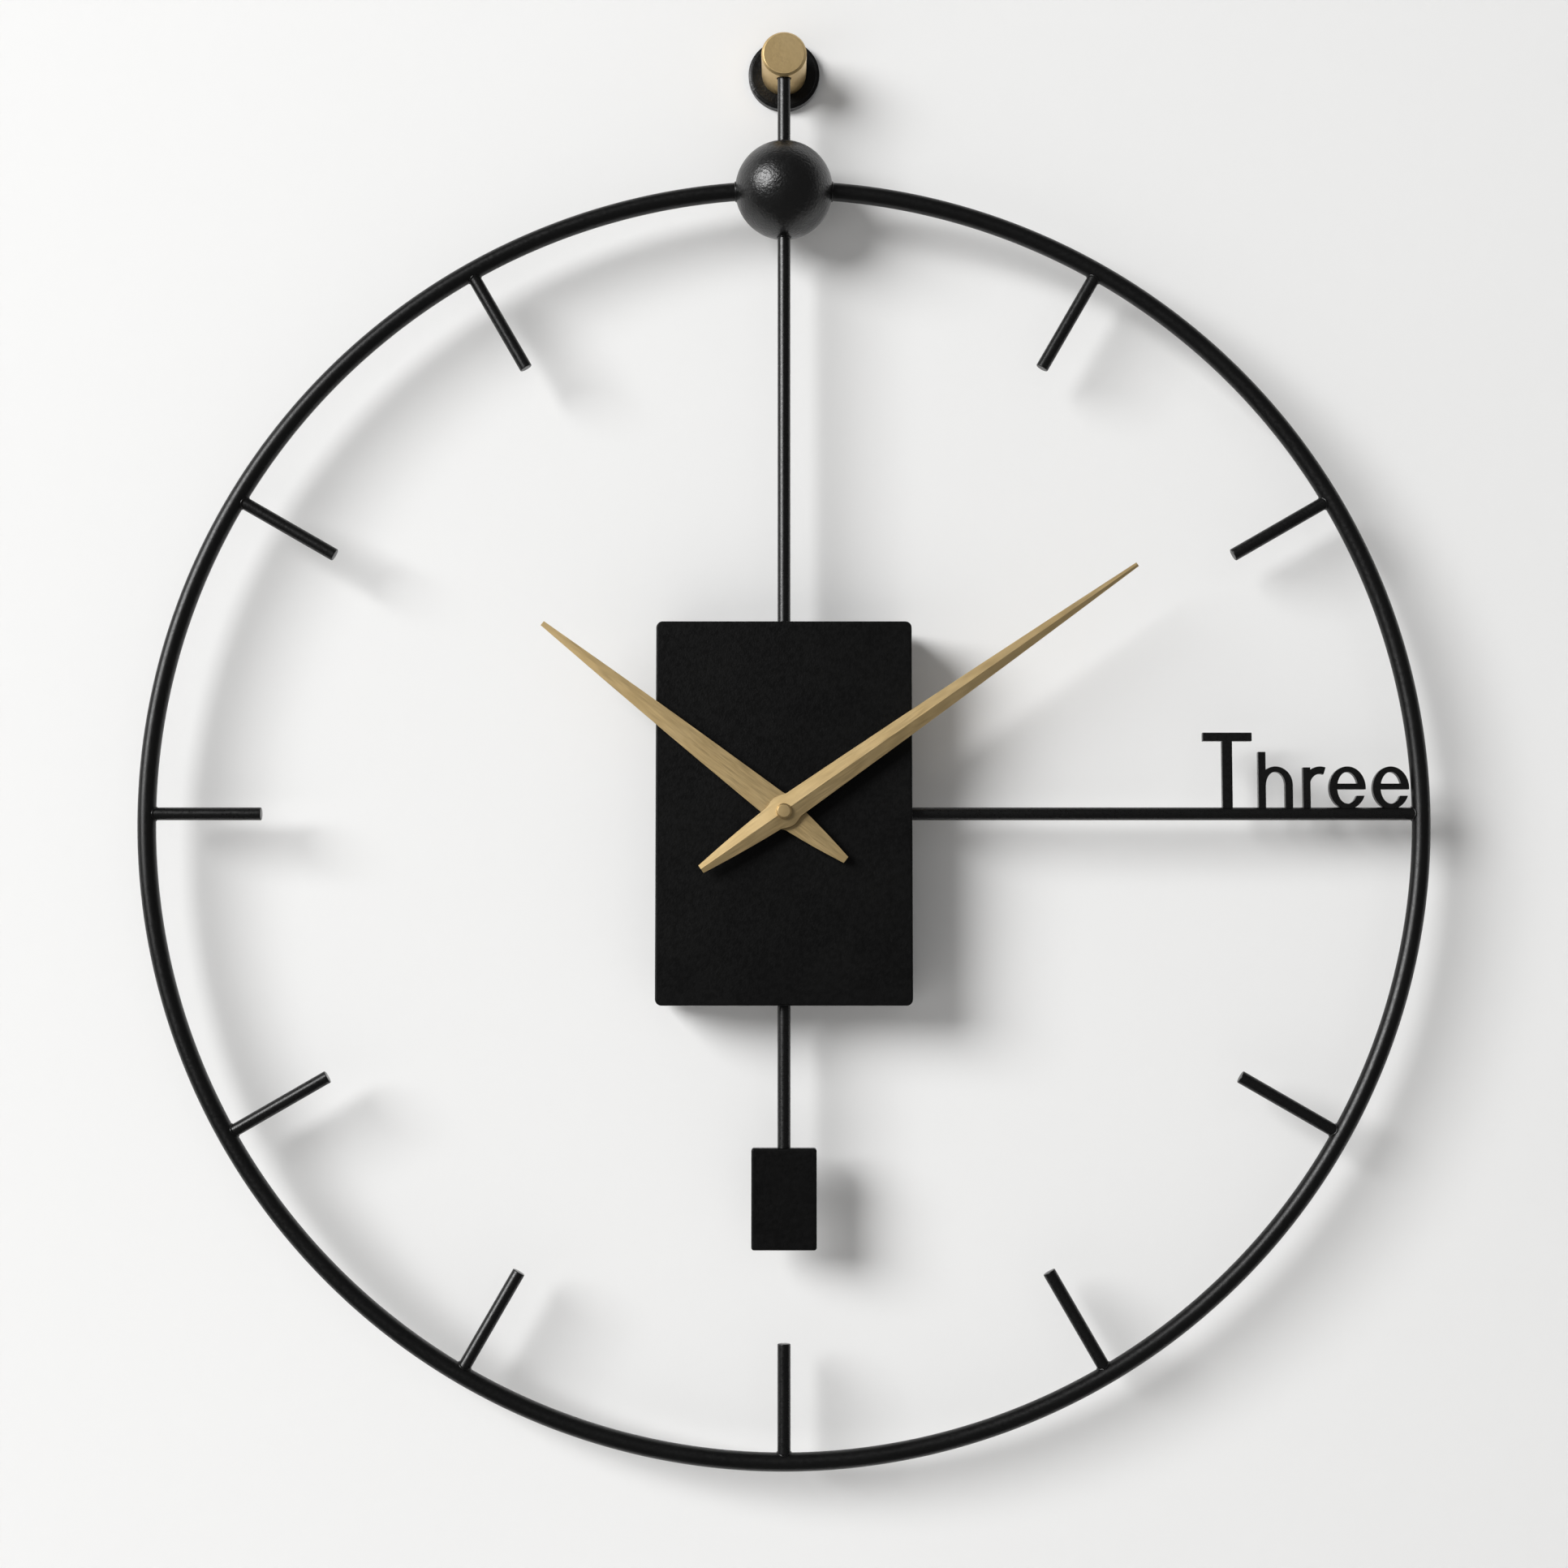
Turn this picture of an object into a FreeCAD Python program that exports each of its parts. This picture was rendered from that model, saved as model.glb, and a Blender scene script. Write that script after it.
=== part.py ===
import FreeCAD, Part
import math
import os

from FreeCAD import Vector

# Pendulum wall clock. A pin in the wall carries a brass peg, and a rod hangs from the peg through
# a hollow ball down to a box case, which holds a battery movement and the pendulum drive. A tube
# ring with round hour markers is carried by the ball and by a bar that spells the hour three.
#
# Everything is drawn about the dial centre in millimetres: +X to the viewer's right, +Z up.
# "Depth" is the distance in front of the wall, so a point lies at y = -depth. save() then moves
# each piece down by DIAL_DROP, which puts the origin on the wall pin at the wall face.

# ---------------------------------------------------------------- driving dimensions
RING_OUTER_DIAMETER = 700.0
TUBE_RADIUS = 5.0
TUBE_WALL = 1.0
RING_DEPTH = 32.0
DIAL_DROP = 420.0

ROD_RADIUS = 3.5
MARKER_INNER_RADIUS = 283.0
BALL_RADIUS = 27.0
BALL_WALL = 2.0

ROSETTE_RADIUS = 20.0
ROSETTE_THICKNESS = 6.0
PEG_RADIUS = 12.5
PEG_FRONT = 38.5
PIN_RADIUS = 3.0
PIN_LENGTH = 35.0
PIN_COLLAR_RADIUS = 3.2

CASE_WIDTH = 138.0
CASE_HEIGHT = 207.0
CASE_BACK = 8.0
CASE_FRONT = 44.0
CASE_WALL = 1.5
CASE_FRONT_WALL = 2.0
ROD_SCREW_RADIUS = 2.0        # the two screws that join the case to its rods
ROD_SCREW_LENGTH = 14.0

LETTER_THICKNESS = 4.0

MINUTE_HAND_LENGTH = 232.0
MINUTE_HAND_TAIL = 54.0
MINUTE_HAND_ANGLE = 55.0      # degrees clockwise from twelve
HOUR_HAND_LENGTH = 165.0
HOUR_HAND_TAIL = 42.0
HOUR_HAND_ANGLE = 308.0
HAND_SHEET = 0.6
HAND_CREASE_SLOPE = 0.15      # rise of the centre crease per unit of half width

PENDULUM_PIVOT_Z = -42.0
MAGNET_Z = PENDULUM_PIVOT_Z - 28.0
BOB_TOP = -179.5
BOB_WIDTH = 35.0
BOB_HEIGHT = 54.0
BOB_THICKNESS = 10.0

TRAIN_MODULE = 0.4            # seconds, third and centre wheels
ROTOR_MODULE = 0.36
MOTION_MODULE = 0.5
HOUR_MODULE = 0.48
GEAR_BACKLASH = 0.12
ADDENDUM = 0.7                # in modules
DEDENDUM = 1.1
PRESSURE_ANGLE = math.radians(20.0)

# ---------------------------------------------------------------- values worked out from those
RING_RADIUS = RING_OUTER_DIAMETER / 2 - TUBE_RADIUS
ROSETTE_Z = DIAL_DROP
CASE_HALF_WIDTH = CASE_WIDTH / 2
CASE_HALF_HEIGHT = CASE_HEIGHT / 2
CASE_INNER_FRONT = CASE_FRONT - CASE_FRONT_WALL

# movement housing
HOUSING_HALF_WIDTH = 31.0
HOUSING_TOP = 42.0
HOUSING_BOTTOM = -84.0
HOUSING_BACK = 20.0
HOUSING_SPLIT = 30.0
HOUSING_FRONT = CASE_INNER_FRONT - 1.0
HOUSING_WALL = 1.2
PLATE_FRONT_WALL = 1.4
BAY_FLOOR = 21.0              # top of the gear chamber, under the battery bay
INNER_BACK = HOUSING_BACK + HOUSING_WALL
INNER_FRONT = HOUSING_FRONT - PLATE_FRONT_WALL
BUSH_RADIUS = 4.0
PIPE_RADIUS = 2.6
ARBOR_RADIUS = 1.5
RUNNING_GAP = 0.07
BEARING_DEPTH = 0.8
FINE_PIVOT_RADIUS = 0.4
COARSE_PIVOT_RADIUS = 1.0
SWING_PIN_RADIUS = 1.5
MOTION_STUD_RADIUS = 0.8
WHEEL_THICKNESS = 1.0
BOARD_BACK = 22.0
STATOR_BACK = 23.6
SUNK = 0.2                    # how far a stud's foot is drawn into the wall that it stands on
CLEAR = 1.0                   # how far a cutting tool runs past the face that it cuts

BATTERY_RADIUS = 7.25
BATTERY_LENGTH = 50.5
BATTERY_Z = 31.0
BATTERY_DEPTH = 29.5
BAY_HALF_WIDTH = 27.2

os.makedirs("parts", exist_ok=True)


# ---------------------------------------------------------------- small makers
def at(x, depth, z):
    return Vector(x, -depth, z)


def save(name, shape):
    moved = shape.copy()
    moved.translate(Vector(0, 0, -DIAL_DROP))
    moved.exportStep(f"parts/{name}.step")


def save_group(name, shapes):
    save(name, Part.makeCompound(shapes))


def disc(radius, back, front, x=0.0, z=0.0):
    """Round bar whose axis stands out from the wall."""
    return Part.makeCylinder(radius, front - back, at(x, back, z), Vector(0, -1, 0))


def upright(radius, bottom, top, x=0.0, depth=RING_DEPTH):
    return Part.makeCylinder(radius, top - bottom, at(x, depth, bottom), Vector(0, 0, 1))


def crosswise(radius, left, right, depth, z):
    return Part.makeCylinder(radius, right - left, at(left, depth, z), Vector(1, 0, 0))


def block(left, right, back, front, bottom, top):
    return Part.makeBox(right - left, front - back, top - bottom, at(left, front, bottom))


def edges_along_depth(shape):
    found = []
    for edge in shape.Edges:
        start, end = edge.Vertexes[0].Point, edge.Vertexes[-1].Point
        run = end - start
        if abs(run.y) > 0.1 and abs(run.x) < 1e-6 and abs(run.z) < 1e-6:
            found.append(edge)
    return found


def rounded_block(half_width, bottom, top, back, front, radius):
    plain = block(-half_width, half_width, back, front, bottom, top)
    return plain.makeFillet(radius, edges_along_depth(plain))


def edges_at_depth(shape, depth):
    found = []
    for edge in shape.Edges:
        low, high = edge.BoundBox.YMin, edge.BoundBox.YMax
        if abs(low + depth) < 1e-4 and abs(high + depth) < 1e-4:
            found.append(edge)
    return found


def turned(profile, x=0.0, z=0.0):
    """Solid of revolution about a line that stands out from the wall; profile is (radius, depth)."""
    points = [at(x + radius, depth, z) for radius, depth in profile]
    face = Part.Face(Part.makePolygon(points + points[:1]))
    return face.revolve(at(x, 0, z), Vector(0, 1, 0), 360)


def plate(points, back, front):
    """Flat plate with a straight-sided outline of (x, z) points."""
    corners = [at(x, back, z) for x, z in points]
    face = Part.Face(Part.makePolygon(corners + corners[:1]))
    return face.extrude(at(0, front - back, 0))


def fuse(shapes):
    return shapes[0].multiFuse(shapes[1:]).removeSplitter()


def polar(centre, distance, degrees):
    turn = math.radians(degrees)
    return (centre[0] + distance * math.cos(turn), centre[1] + distance * math.sin(turn))


def hex_bar(across_flats, back, front, x=0.0, z=0.0):
    corner = across_flats / math.sqrt(3)
    points = [polar((x, z), corner, 60 * side) for side in range(6)]
    return plate(points, back, front)


# ---------------------------------------------------------------- gears
def gear(teeth, module, phase, centre, back, front):
    """Spur gear with short straight-sided teeth; phase is the angle of one tooth's middle."""
    pitch_radius = module * teeth / 2
    tip = pitch_radius + ADDENDUM * module
    root = pitch_radius - DEDENDUM * module
    half_tooth = (math.pi * module / 2 - GEAR_BACKLASH) / 2
    at_tip = (half_tooth - ADDENDUM * module * math.tan(PRESSURE_ANGLE)) / tip
    at_root = (half_tooth + DEDENDUM * module * math.tan(PRESSURE_ANGLE)) / root
    points = []
    for tooth in range(teeth):
        middle = phase + 2 * math.pi * tooth / teeth
        for radius, turn in ((root, -at_root), (tip, -at_tip), (tip, at_tip), (root, at_root)):
            angle = middle + turn
            points.append((centre[0] + radius * math.cos(angle), centre[1] + radius * math.sin(angle)))
    return plate(points, back, front)


def meshed_phase(from_centre, from_teeth, from_phase, to_centre, to_teeth):
    """Phase that puts a gap of the second gear over a tooth of the first."""
    line = math.atan2(to_centre[1] - from_centre[1], to_centre[0] - from_centre[0])
    offset = (line - from_phase) * from_teeth / (2 * math.pi)
    return line + math.pi + (offset - 0.5) * 2 * math.pi / to_teeth


def fine_arbor(centre, radius):
    """Thin shaft between the two housing plates, with a pivot at each end."""
    end = BEARING_DEPTH - 0.1
    shoulder = 0.3
    return turned([
        (0, INNER_BACK - end), (FINE_PIVOT_RADIUS, INNER_BACK - end),
        (FINE_PIVOT_RADIUS, INNER_BACK + shoulder), (radius, INNER_BACK + shoulder),
        (radius, INNER_FRONT - shoulder), (FINE_PIVOT_RADIUS, INNER_FRONT - shoulder),
        (FINE_PIVOT_RADIUS, INNER_FRONT + end), (0, INNER_FRONT + end)], *centre)


CENTRE = (0.0, 0.0)
CENTRE_TEETH, CANNON_TEETH = 64, 12
THIRD_TEETH, THIRD_PINION = 60, 8
SECONDS_TEETH, SECONDS_PINION = 60, 8
INTERMEDIATE_TEETH, INTERMEDIATE_PINION = 72, 12
ROTOR_PINION = 12
MOTION_TEETH, MOTION_PINION = 36, 10
HOUR_TEETH = 40
KNOB_PINION = 12

THIRD = polar(CENTRE, TRAIN_MODULE * (CENTRE_TEETH + THIRD_PINION) / 2, 225)
SECONDS = polar(THIRD, TRAIN_MODULE * (THIRD_TEETH + SECONDS_PINION) / 2, -53)
INTERMEDIATE = polar(SECONDS, TRAIN_MODULE * (SECONDS_TEETH + INTERMEDIATE_PINION) / 2, 4.5)
ROTOR = polar(INTERMEDIATE, ROTOR_MODULE * (INTERMEDIATE_TEETH + ROTOR_PINION) / 2, 75)
MOTION = polar(CENTRE, MOTION_MODULE * (CANNON_TEETH + MOTION_TEETH) / 2, 135)
KNOB = polar(MOTION, MOTION_MODULE * (MOTION_TEETH + KNOB_PINION) / 2, 196.5)


# ---------------------------------------------------------------- wall fixing
def make_wall_fixing():
    tip_chamfer = 1.0
    neck_radius = 2.5
    neck_end = 20.0
    bolt = turned([
        (0, -PIN_LENGTH - tip_chamfer), (PIN_RADIUS - tip_chamfer, -PIN_LENGTH - tip_chamfer),
        (PIN_RADIUS, -PIN_LENGTH), (PIN_RADIUS, 0), (PIN_COLLAR_RADIUS, 0),
        (PIN_COLLAR_RADIUS, ROSETTE_THICKNESS), (neck_radius, ROSETTE_THICKNESS),
        (neck_radius, neck_end), (0, neck_end)], z=ROSETTE_Z)
    rim = 1.4
    rosette = turned([
        (PIN_COLLAR_RADIUS, 0), (ROSETTE_RADIUS, 0), (ROSETTE_RADIUS, ROSETTE_THICKNESS - rim),
        (ROSETTE_RADIUS - rim, ROSETTE_THICKNESS), (PIN_COLLAR_RADIUS, ROSETTE_THICKNESS)], z=ROSETTE_Z)

    bevel = 1.2
    rod_top = ROSETTE_Z - 4.5
    peg_blank = turned([
        (0, ROSETTE_THICKNESS), (PEG_RADIUS, ROSETTE_THICKNESS), (PEG_RADIUS, PEG_FRONT - bevel),
        (PEG_RADIUS - bevel, PEG_FRONT), (0, PEG_FRONT)], z=ROSETTE_Z)
    rod = upright(ROD_RADIUS, CASE_HALF_HEIGHT, rod_top)

    screw_radius = 2.0
    bolt_screw_depth = 13.0
    screw_length = 8.0
    bite = 0.4
    key_across, key_depth = 2.0, 2.0
    screws = []
    hole_cuts = []
    for depth, foot in ((bolt_screw_depth, ROSETTE_Z + neck_radius - bite), (RING_DEPTH, rod_top)):
        hole_cuts.append(upright(screw_radius, foot, ROSETTE_Z + PEG_RADIUS, depth=depth))
        body = upright(screw_radius, foot, foot + screw_length, depth=depth)
        corner = key_across / math.sqrt(3)
        key = Part.makeCylinder(corner, key_depth, at(0, depth, foot + screw_length - key_depth))
        screws.append(body.cut(key).cut(bolt))
    peg = peg_blank.cut(bolt).cut(rod).cut(Part.makeCompound(hole_cuts))

    save("hanger_bolt", bolt)
    save("wall_rosette", rosette)
    save("brass_peg", peg)
    save_group("peg_grub_screws", screws)
    return rod


# ---------------------------------------------------------------- ring, ball, rods and letters
def ring_tube(radius=TUBE_RADIUS):
    return Part.makeTorus(RING_RADIUS, radius, at(0, RING_DEPTH, 0), Vector(0, -1, 0))


def make_ring_and_ball(rod):
    outside = ring_tube()
    inside = ring_tube(TUBE_RADIUS - TUBE_WALL)
    half_gap, reach = 8.0, TUBE_RADIUS + 4
    gap = block(-half_gap, half_gap, RING_DEPTH - reach, RING_DEPTH + reach,
                RING_RADIUS - reach, RING_RADIUS + reach)
    save("dial_ring", outside.cut(inside).cut(gap))

    middle = at(0, RING_DEPTH, RING_RADIUS)
    ball = Part.makeSphere(BALL_RADIUS, middle).cut(Part.makeSphere(BALL_RADIUS - BALL_WALL, middle))
    save("top_ball", ball.cut(outside).cut(rod))
    save("suspension_rod", rod.cut(case_rod_screw_top()))


def make_hour_markers():
    tube = ring_tube()
    for hour in (1, 2, 4, 5, 6, 7, 8, 9, 10, 11):
        turn = math.radians(30 * hour)
        outward = Vector(math.sin(turn), 0, math.cos(turn))
        start = at(0, RING_DEPTH, 0) + outward * MARKER_INNER_RADIUS
        rod = Part.makeCylinder(ROD_RADIUS, RING_RADIUS - MARKER_INNER_RADIUS, start, outward)
        save(f"hour_marker_{hour}", rod.cut(tube))


def letter_plate(points):
    half = LETTER_THICKNESS / 2
    return plate(points, RING_DEPTH - half, RING_DEPTH + half)


def letter_bar(left, right, bottom, top):
    return letter_plate([(left, bottom), (right, bottom), (right, top), (left, top)])


def letter_oval(x, z, half_width, half_height):
    back = RING_DEPTH - LETTER_THICKNESS / 2
    curve = Part.Ellipse(at(x, back, z + half_height), at(x + half_width, back, z), at(x, back, z))
    face = Part.Face(Part.Wire([curve.toShape()]))
    return face.extrude(at(0, LETTER_THICKNESS, 0))


def letter_ring(x, z, outer, inner):
    """Oval stroke between two (half width, half height) pairs, thinner at its top and bottom."""
    return letter_oval(x, z, *outer).cut(letter_oval(x, z, *inner))


def make_three_oclock():
    """A bar from the case to the ring, and five flat letters that stand on it."""
    bar = crosswise(ROD_RADIUS, CASE_HALF_WIDTH, RING_RADIUS, RING_DEPTH, 0).cut(ring_tube())
    foot, x_height, h_height, t_height = 0.0, 25.6, 33.5, 44.0

    t_left, t_right, t_bar = 226.9, 253.5, 4.6
    t_stem_left, t_stem_right = 237.3, 242.8
    letter_t = [letter_bar(t_stem_left, t_stem_right, foot, t_height - t_bar / 2),
                letter_bar(t_left, t_right, t_height - t_bar, t_height)]

    stem, right_stem, arch_top = 4.0, 4.1, 2.9
    arch_z = 15.5
    arch_half = 9.3
    arch_outer = (arch_half, x_height - arch_z)
    arch_inner = (arch_half - right_stem, x_height - arch_z - arch_top)
    h_left = 256.8
    h_right = h_left + 2 * arch_half
    h_arch = letter_ring(h_left + arch_half, arch_z, arch_outer, arch_inner)
    h_arch = h_arch.common(letter_bar(h_left, h_right, arch_z, x_height))
    letter_h = [letter_bar(h_left, h_left + stem, foot, h_height), h_arch,
                letter_bar(h_right - right_stem, h_right, foot, arch_z)]

    arm, arm_top, stem_drop = 3.8, 4.0, 0.5
    r_left = 281.0
    r_middle = r_left + arch_half
    above = x_height + 0.4
    arm_end_low, arm_end_high = (r_middle + 1.6, 20.6), (r_middle + 3.3, above)
    r_arm = letter_ring(r_middle, arch_z, arch_outer, (arch_half - arm, x_height - arch_z - arm_top))
    r_arm = r_arm.common(letter_plate([
        (r_left, arch_z), (r_middle, arch_z), arm_end_low, arm_end_high, (r_left, above)]))
    letter_r = [letter_bar(r_left, r_left + stem, foot, x_height - stem_drop), r_arm]

    save("three_oclock_bar", bar.cut(case_rod_screw_side()))
    save("letter_t", fuse(letter_t).cut(bar))
    save("letter_h", fuse(letter_h).cut(bar))
    save("letter_r", fuse(letter_r).cut(bar))
    for number, middle in ((1, 305.0), (2, 328.5)):
        save(f"letter_e_{number}", letter_e(middle, x_height).cut(bar))


def letter_e(middle, x_height):
    """An oval stroke with a crossbar and a level opening under it at the right."""
    bottom, half_width = 2.4, 9.85
    side_stroke, end_stroke = 4.25, 3.0
    bar_low, bar_high, terminal = 13.2, 16.3, 9.7
    opening_left = middle + 3
    half_height = (x_height - bottom) / 2
    centre = bottom + half_height
    outer, inner = (half_width, half_height), (half_width - side_stroke, half_height - end_stroke)
    bowl = letter_ring(middle, centre, outer, inner)
    crossbar = letter_bar(middle - half_width, middle + half_width, bar_low, bar_high)
    crossbar = crossbar.common(letter_oval(middle, centre, *outer))
    opening = letter_bar(opening_left, middle + half_width + CLEAR, terminal, bar_low)
    return fuse([bowl.cut(opening), crossbar])


# ---------------------------------------------------------------- case
def case_rod_screw_top():
    start = CASE_HALF_HEIGHT - CASE_WALL
    return upright(ROD_SCREW_RADIUS, start, CASE_HALF_HEIGHT + ROD_SCREW_LENGTH)


def case_rod_screw_side():
    start = CASE_HALF_WIDTH - CASE_WALL
    return crosswise(ROD_SCREW_RADIUS, start, CASE_HALF_WIDTH + ROD_SCREW_LENGTH, RING_DEPTH, 0)


def make_case():
    outer_corner, inner_corner, front_edge = 3.5, 2.0, 1.0
    shell = rounded_block(
        CASE_HALF_WIDTH, -CASE_HALF_HEIGHT, CASE_HALF_HEIGHT, CASE_BACK, CASE_FRONT, outer_corner)
    shell = shell.makeFillet(front_edge, edges_at_depth(shell, CASE_FRONT))
    hollow = rounded_block(
        CASE_HALF_WIDTH - CASE_WALL, -CASE_HALF_HEIGHT + CASE_WALL, CASE_HALF_HEIGHT - CASE_WALL,
        CASE_BACK, CASE_INNER_FRONT, inner_corner)

    post_radius, post_x, post_z = 4.0, 60.0, 94.0
    panel_back, panel_front = 9.0, 10.5
    corners = [(side * post_x, end * post_z) for side in (-1, 1) for end in (-1, 1)]
    posts = [disc(post_radius, panel_front, CASE_FRONT - CLEAR, x, z) for x, z in corners]

    shank, head, head_thickness, screw_end = 1.5, 3.0, 0.9, 20.5
    panel_screws = []
    for x, z in corners:
        panel_screws.append(disc(head, panel_back - head_thickness, panel_back, x, z).fuse(
            disc(shank, panel_back, screw_end, x, z)))

    slot_half, slot_half_depth = 15.0, 5.0
    slot = block(-slot_half, slot_half, RING_DEPTH - slot_half_depth, RING_DEPTH + slot_half_depth,
                 -CASE_HALF_HEIGHT - CLEAR, -CASE_HALF_HEIGHT + CASE_WALL + CLEAR)
    bush_fit = 0.1
    bush_hole = disc(BUSH_RADIUS + bush_fit, CASE_INNER_FRONT - CLEAR, CASE_FRONT + CLEAR)

    rod_head, rod_head_height = 3.5, 2.4
    top_inner = CASE_HALF_HEIGHT - CASE_WALL
    side_inner = CASE_HALF_WIDTH - CASE_WALL
    rod_screws = [
        case_rod_screw_top().fuse(upright(rod_head, top_inner - rod_head_height, top_inner)),
        case_rod_screw_side().fuse(
            crosswise(rod_head, side_inner - rod_head_height, side_inner, RING_DEPTH, 0))]

    case = fuse([shell.cut(hollow)] + posts)
    for tool in [slot, bush_hole] + panel_screws + rod_screws:
        case = case.cut(tool)

    fit = 0.2
    panel = rounded_block(
        side_inner - fit, -top_inner + fit, top_inner - fit, panel_back, panel_front, inner_corner)
    window_half, window_bottom, window_top, window_corner = 33.0, -60.0, 44.0, 4.0
    window = rounded_block(
        window_half, window_bottom, window_top, panel_back - CLEAR, panel_front + CLEAR, window_corner)
    panel = panel.cut(window)
    for screw in panel_screws:
        panel = panel.cut(screw)

    save("front_case", case)
    save("back_panel", panel)
    save_group("back_panel_screws", panel_screws)
    save_group("case_rod_screws", rod_screws)


# ---------------------------------------------------------------- movement housing
def bearing_holes(centres, back, front):
    return [disc(FINE_PIVOT_RADIUS + RUNNING_GAP, back, front, x, z) for x, z in centres]


def make_housing():
    corner = 2.0
    inner_half = HOUSING_HALF_WIDTH - HOUSING_WALL
    chamber = (HOUSING_BOTTOM + HOUSING_WALL, BAY_FLOOR)
    bay = (BAY_FLOOR + HOUSING_WALL, HOUSING_TOP - HOUSING_WALL)

    def shell(back, front, inner_back, inner_front):
        box = rounded_block(HOUSING_HALF_WIDTH, HOUSING_BOTTOM, HOUSING_TOP, back, front, corner)
        box = box.cut(block(-inner_half, inner_half, inner_back, inner_front, *chamber))
        return box.cut(block(-BAY_HALF_WIDTH, BAY_HALF_WIDTH, inner_back, inner_front, *bay))

    low_post, high_post, post_radius = (27.0, -80.0), (27.2, 18.4), 2.2
    post_spots = [(side * x, z) for x, z in (low_post, high_post) for side in (-1, 1)]
    screw_radius, head_radius, head_thickness = 1.0, 1.9, 0.8
    screws = []
    for x, z in post_spots:
        screws.append(disc(head_radius, HOUSING_BACK - head_thickness, HOUSING_BACK, x, z).fuse(
            disc(screw_radius, HOUSING_BACK, HOUSING_SPLIT, x, z)))

    slot_half, slot_half_depth = 11.0, 2.5
    arm_slot = block(-slot_half, slot_half, RING_DEPTH - slot_half_depth, RING_DEPTH + slot_half_depth,
                     HOUSING_BOTTOM - CLEAR, HOUSING_BOTTOM + HOUSING_WALL + CLEAR)
    stator_stud, stator_stud_z = 1.2, 14.0
    board_stud = 1.5
    studs = [disc(stator_stud, INNER_BACK - SUNK, STATOR_BACK, x, stator_stud_z) for x in (7.0, 26.5)]
    studs += [disc(board_stud, INNER_BACK - SUNK, BOARD_BACK, x, z) for x in (-20, 20) for z in (-78, -50)]
    back_shell = fuse([shell(HOUSING_BACK, HOUSING_SPLIT, INNER_BACK, HOUSING_SPLIT)] + studs)

    door_half_width, door_half_height = BAY_HALF_WIDTH - 1.0, BATTERY_RADIUS + 0.6
    battery_door = block(-door_half_width, door_half_width, HOUSING_BACK - CLEAR, INNER_BACK + CLEAR,
                         BATTERY_Z - door_half_height, BATTERY_Z + door_half_height)
    pivot_hole = COARSE_PIVOT_RADIUS + RUNNING_GAP
    knob_hole = disc(pivot_hole, HOUSING_BACK - CLEAR, INNER_BACK + CLEAR, *KNOB)
    arbor_seat = disc(pivot_hole, INNER_BACK - BEARING_DEPTH, INNER_BACK)
    fine = [THIRD, SECONDS, INTERMEDIATE, ROTOR]
    back_cuts = [arm_slot, battery_door, knob_hole, arbor_seat] + screws
    back_cuts += bearing_holes(fine, INNER_BACK - BEARING_DEPTH, INNER_BACK)
    back_cuts.append(disc(SWING_PIN_RADIUS, INNER_BACK - BEARING_DEPTH, INNER_BACK, z=PENDULUM_PIVOT_Z))
    for tool in back_cuts:
        back_shell = back_shell.cut(tool)

    post_front = HOUSING_FRONT - 0.5
    motion_stud_back = 35.4
    posts = [disc(post_radius, INNER_BACK, post_front, x, z) for x, z in post_spots]
    motion_stud = disc(MOTION_STUD_RADIUS, motion_stud_back, post_front, *MOTION)
    front_shell = fuse([shell(HOUSING_SPLIT, HOUSING_FRONT, HOUSING_SPLIT, INNER_FRONT), motion_stud] + posts)
    front_cuts = [arm_slot, disc(BUSH_RADIUS, INNER_FRONT - CLEAR, HOUSING_FRONT + CLEAR)] + screws
    front_cuts += bearing_holes(fine + [KNOB], INNER_FRONT, INNER_FRONT + BEARING_DEPTH)
    front_cuts.append(disc(SWING_PIN_RADIUS, INNER_FRONT, INNER_FRONT + BEARING_DEPTH, z=PENDULUM_PIVOT_Z))
    for tool in front_cuts:
        front_shell = front_shell.cut(tool)
    back_shell = back_shell.cut(Part.makeCompound(posts))

    save("movement_back_shell", back_shell)
    save("movement_front_shell", front_shell)
    save_group("movement_screws", screws)


def make_bush_and_nut():
    bore = PIPE_RADIUS + RUNNING_GAP
    bush_front, thread_relief = 48.0, 0.5
    flange_radius, flange_thickness = 5.5, 0.6
    flange_back = INNER_FRONT - flange_thickness
    bush = turned([
        (bore, flange_back), (flange_radius, flange_back), (flange_radius, INNER_FRONT),
        (BUSH_RADIUS, INNER_FRONT), (BUSH_RADIUS, bush_front - thread_relief),
        (BUSH_RADIUS - thread_relief, bush_front), (bore, bush_front)])

    rubber_radius, brass_radius, brass_thickness = 9.0, 7.5, 0.6
    nut_across_flats, nut_thickness = 11.0, 2.4
    washer_front = CASE_FRONT + brass_thickness
    nut_front = washer_front + nut_thickness
    hole = disc(BUSH_RADIUS, HOUSING_FRONT - CLEAR, nut_front + CLEAR)
    save("threaded_bush", bush)
    save("rubber_washer", disc(rubber_radius, HOUSING_FRONT, CASE_INNER_FRONT).cut(hole))
    save("brass_washer", disc(brass_radius, CASE_FRONT, washer_front).cut(hole))
    save("hex_nut", hex_bar(nut_across_flats, washer_front, nut_front).cut(hole))


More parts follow.
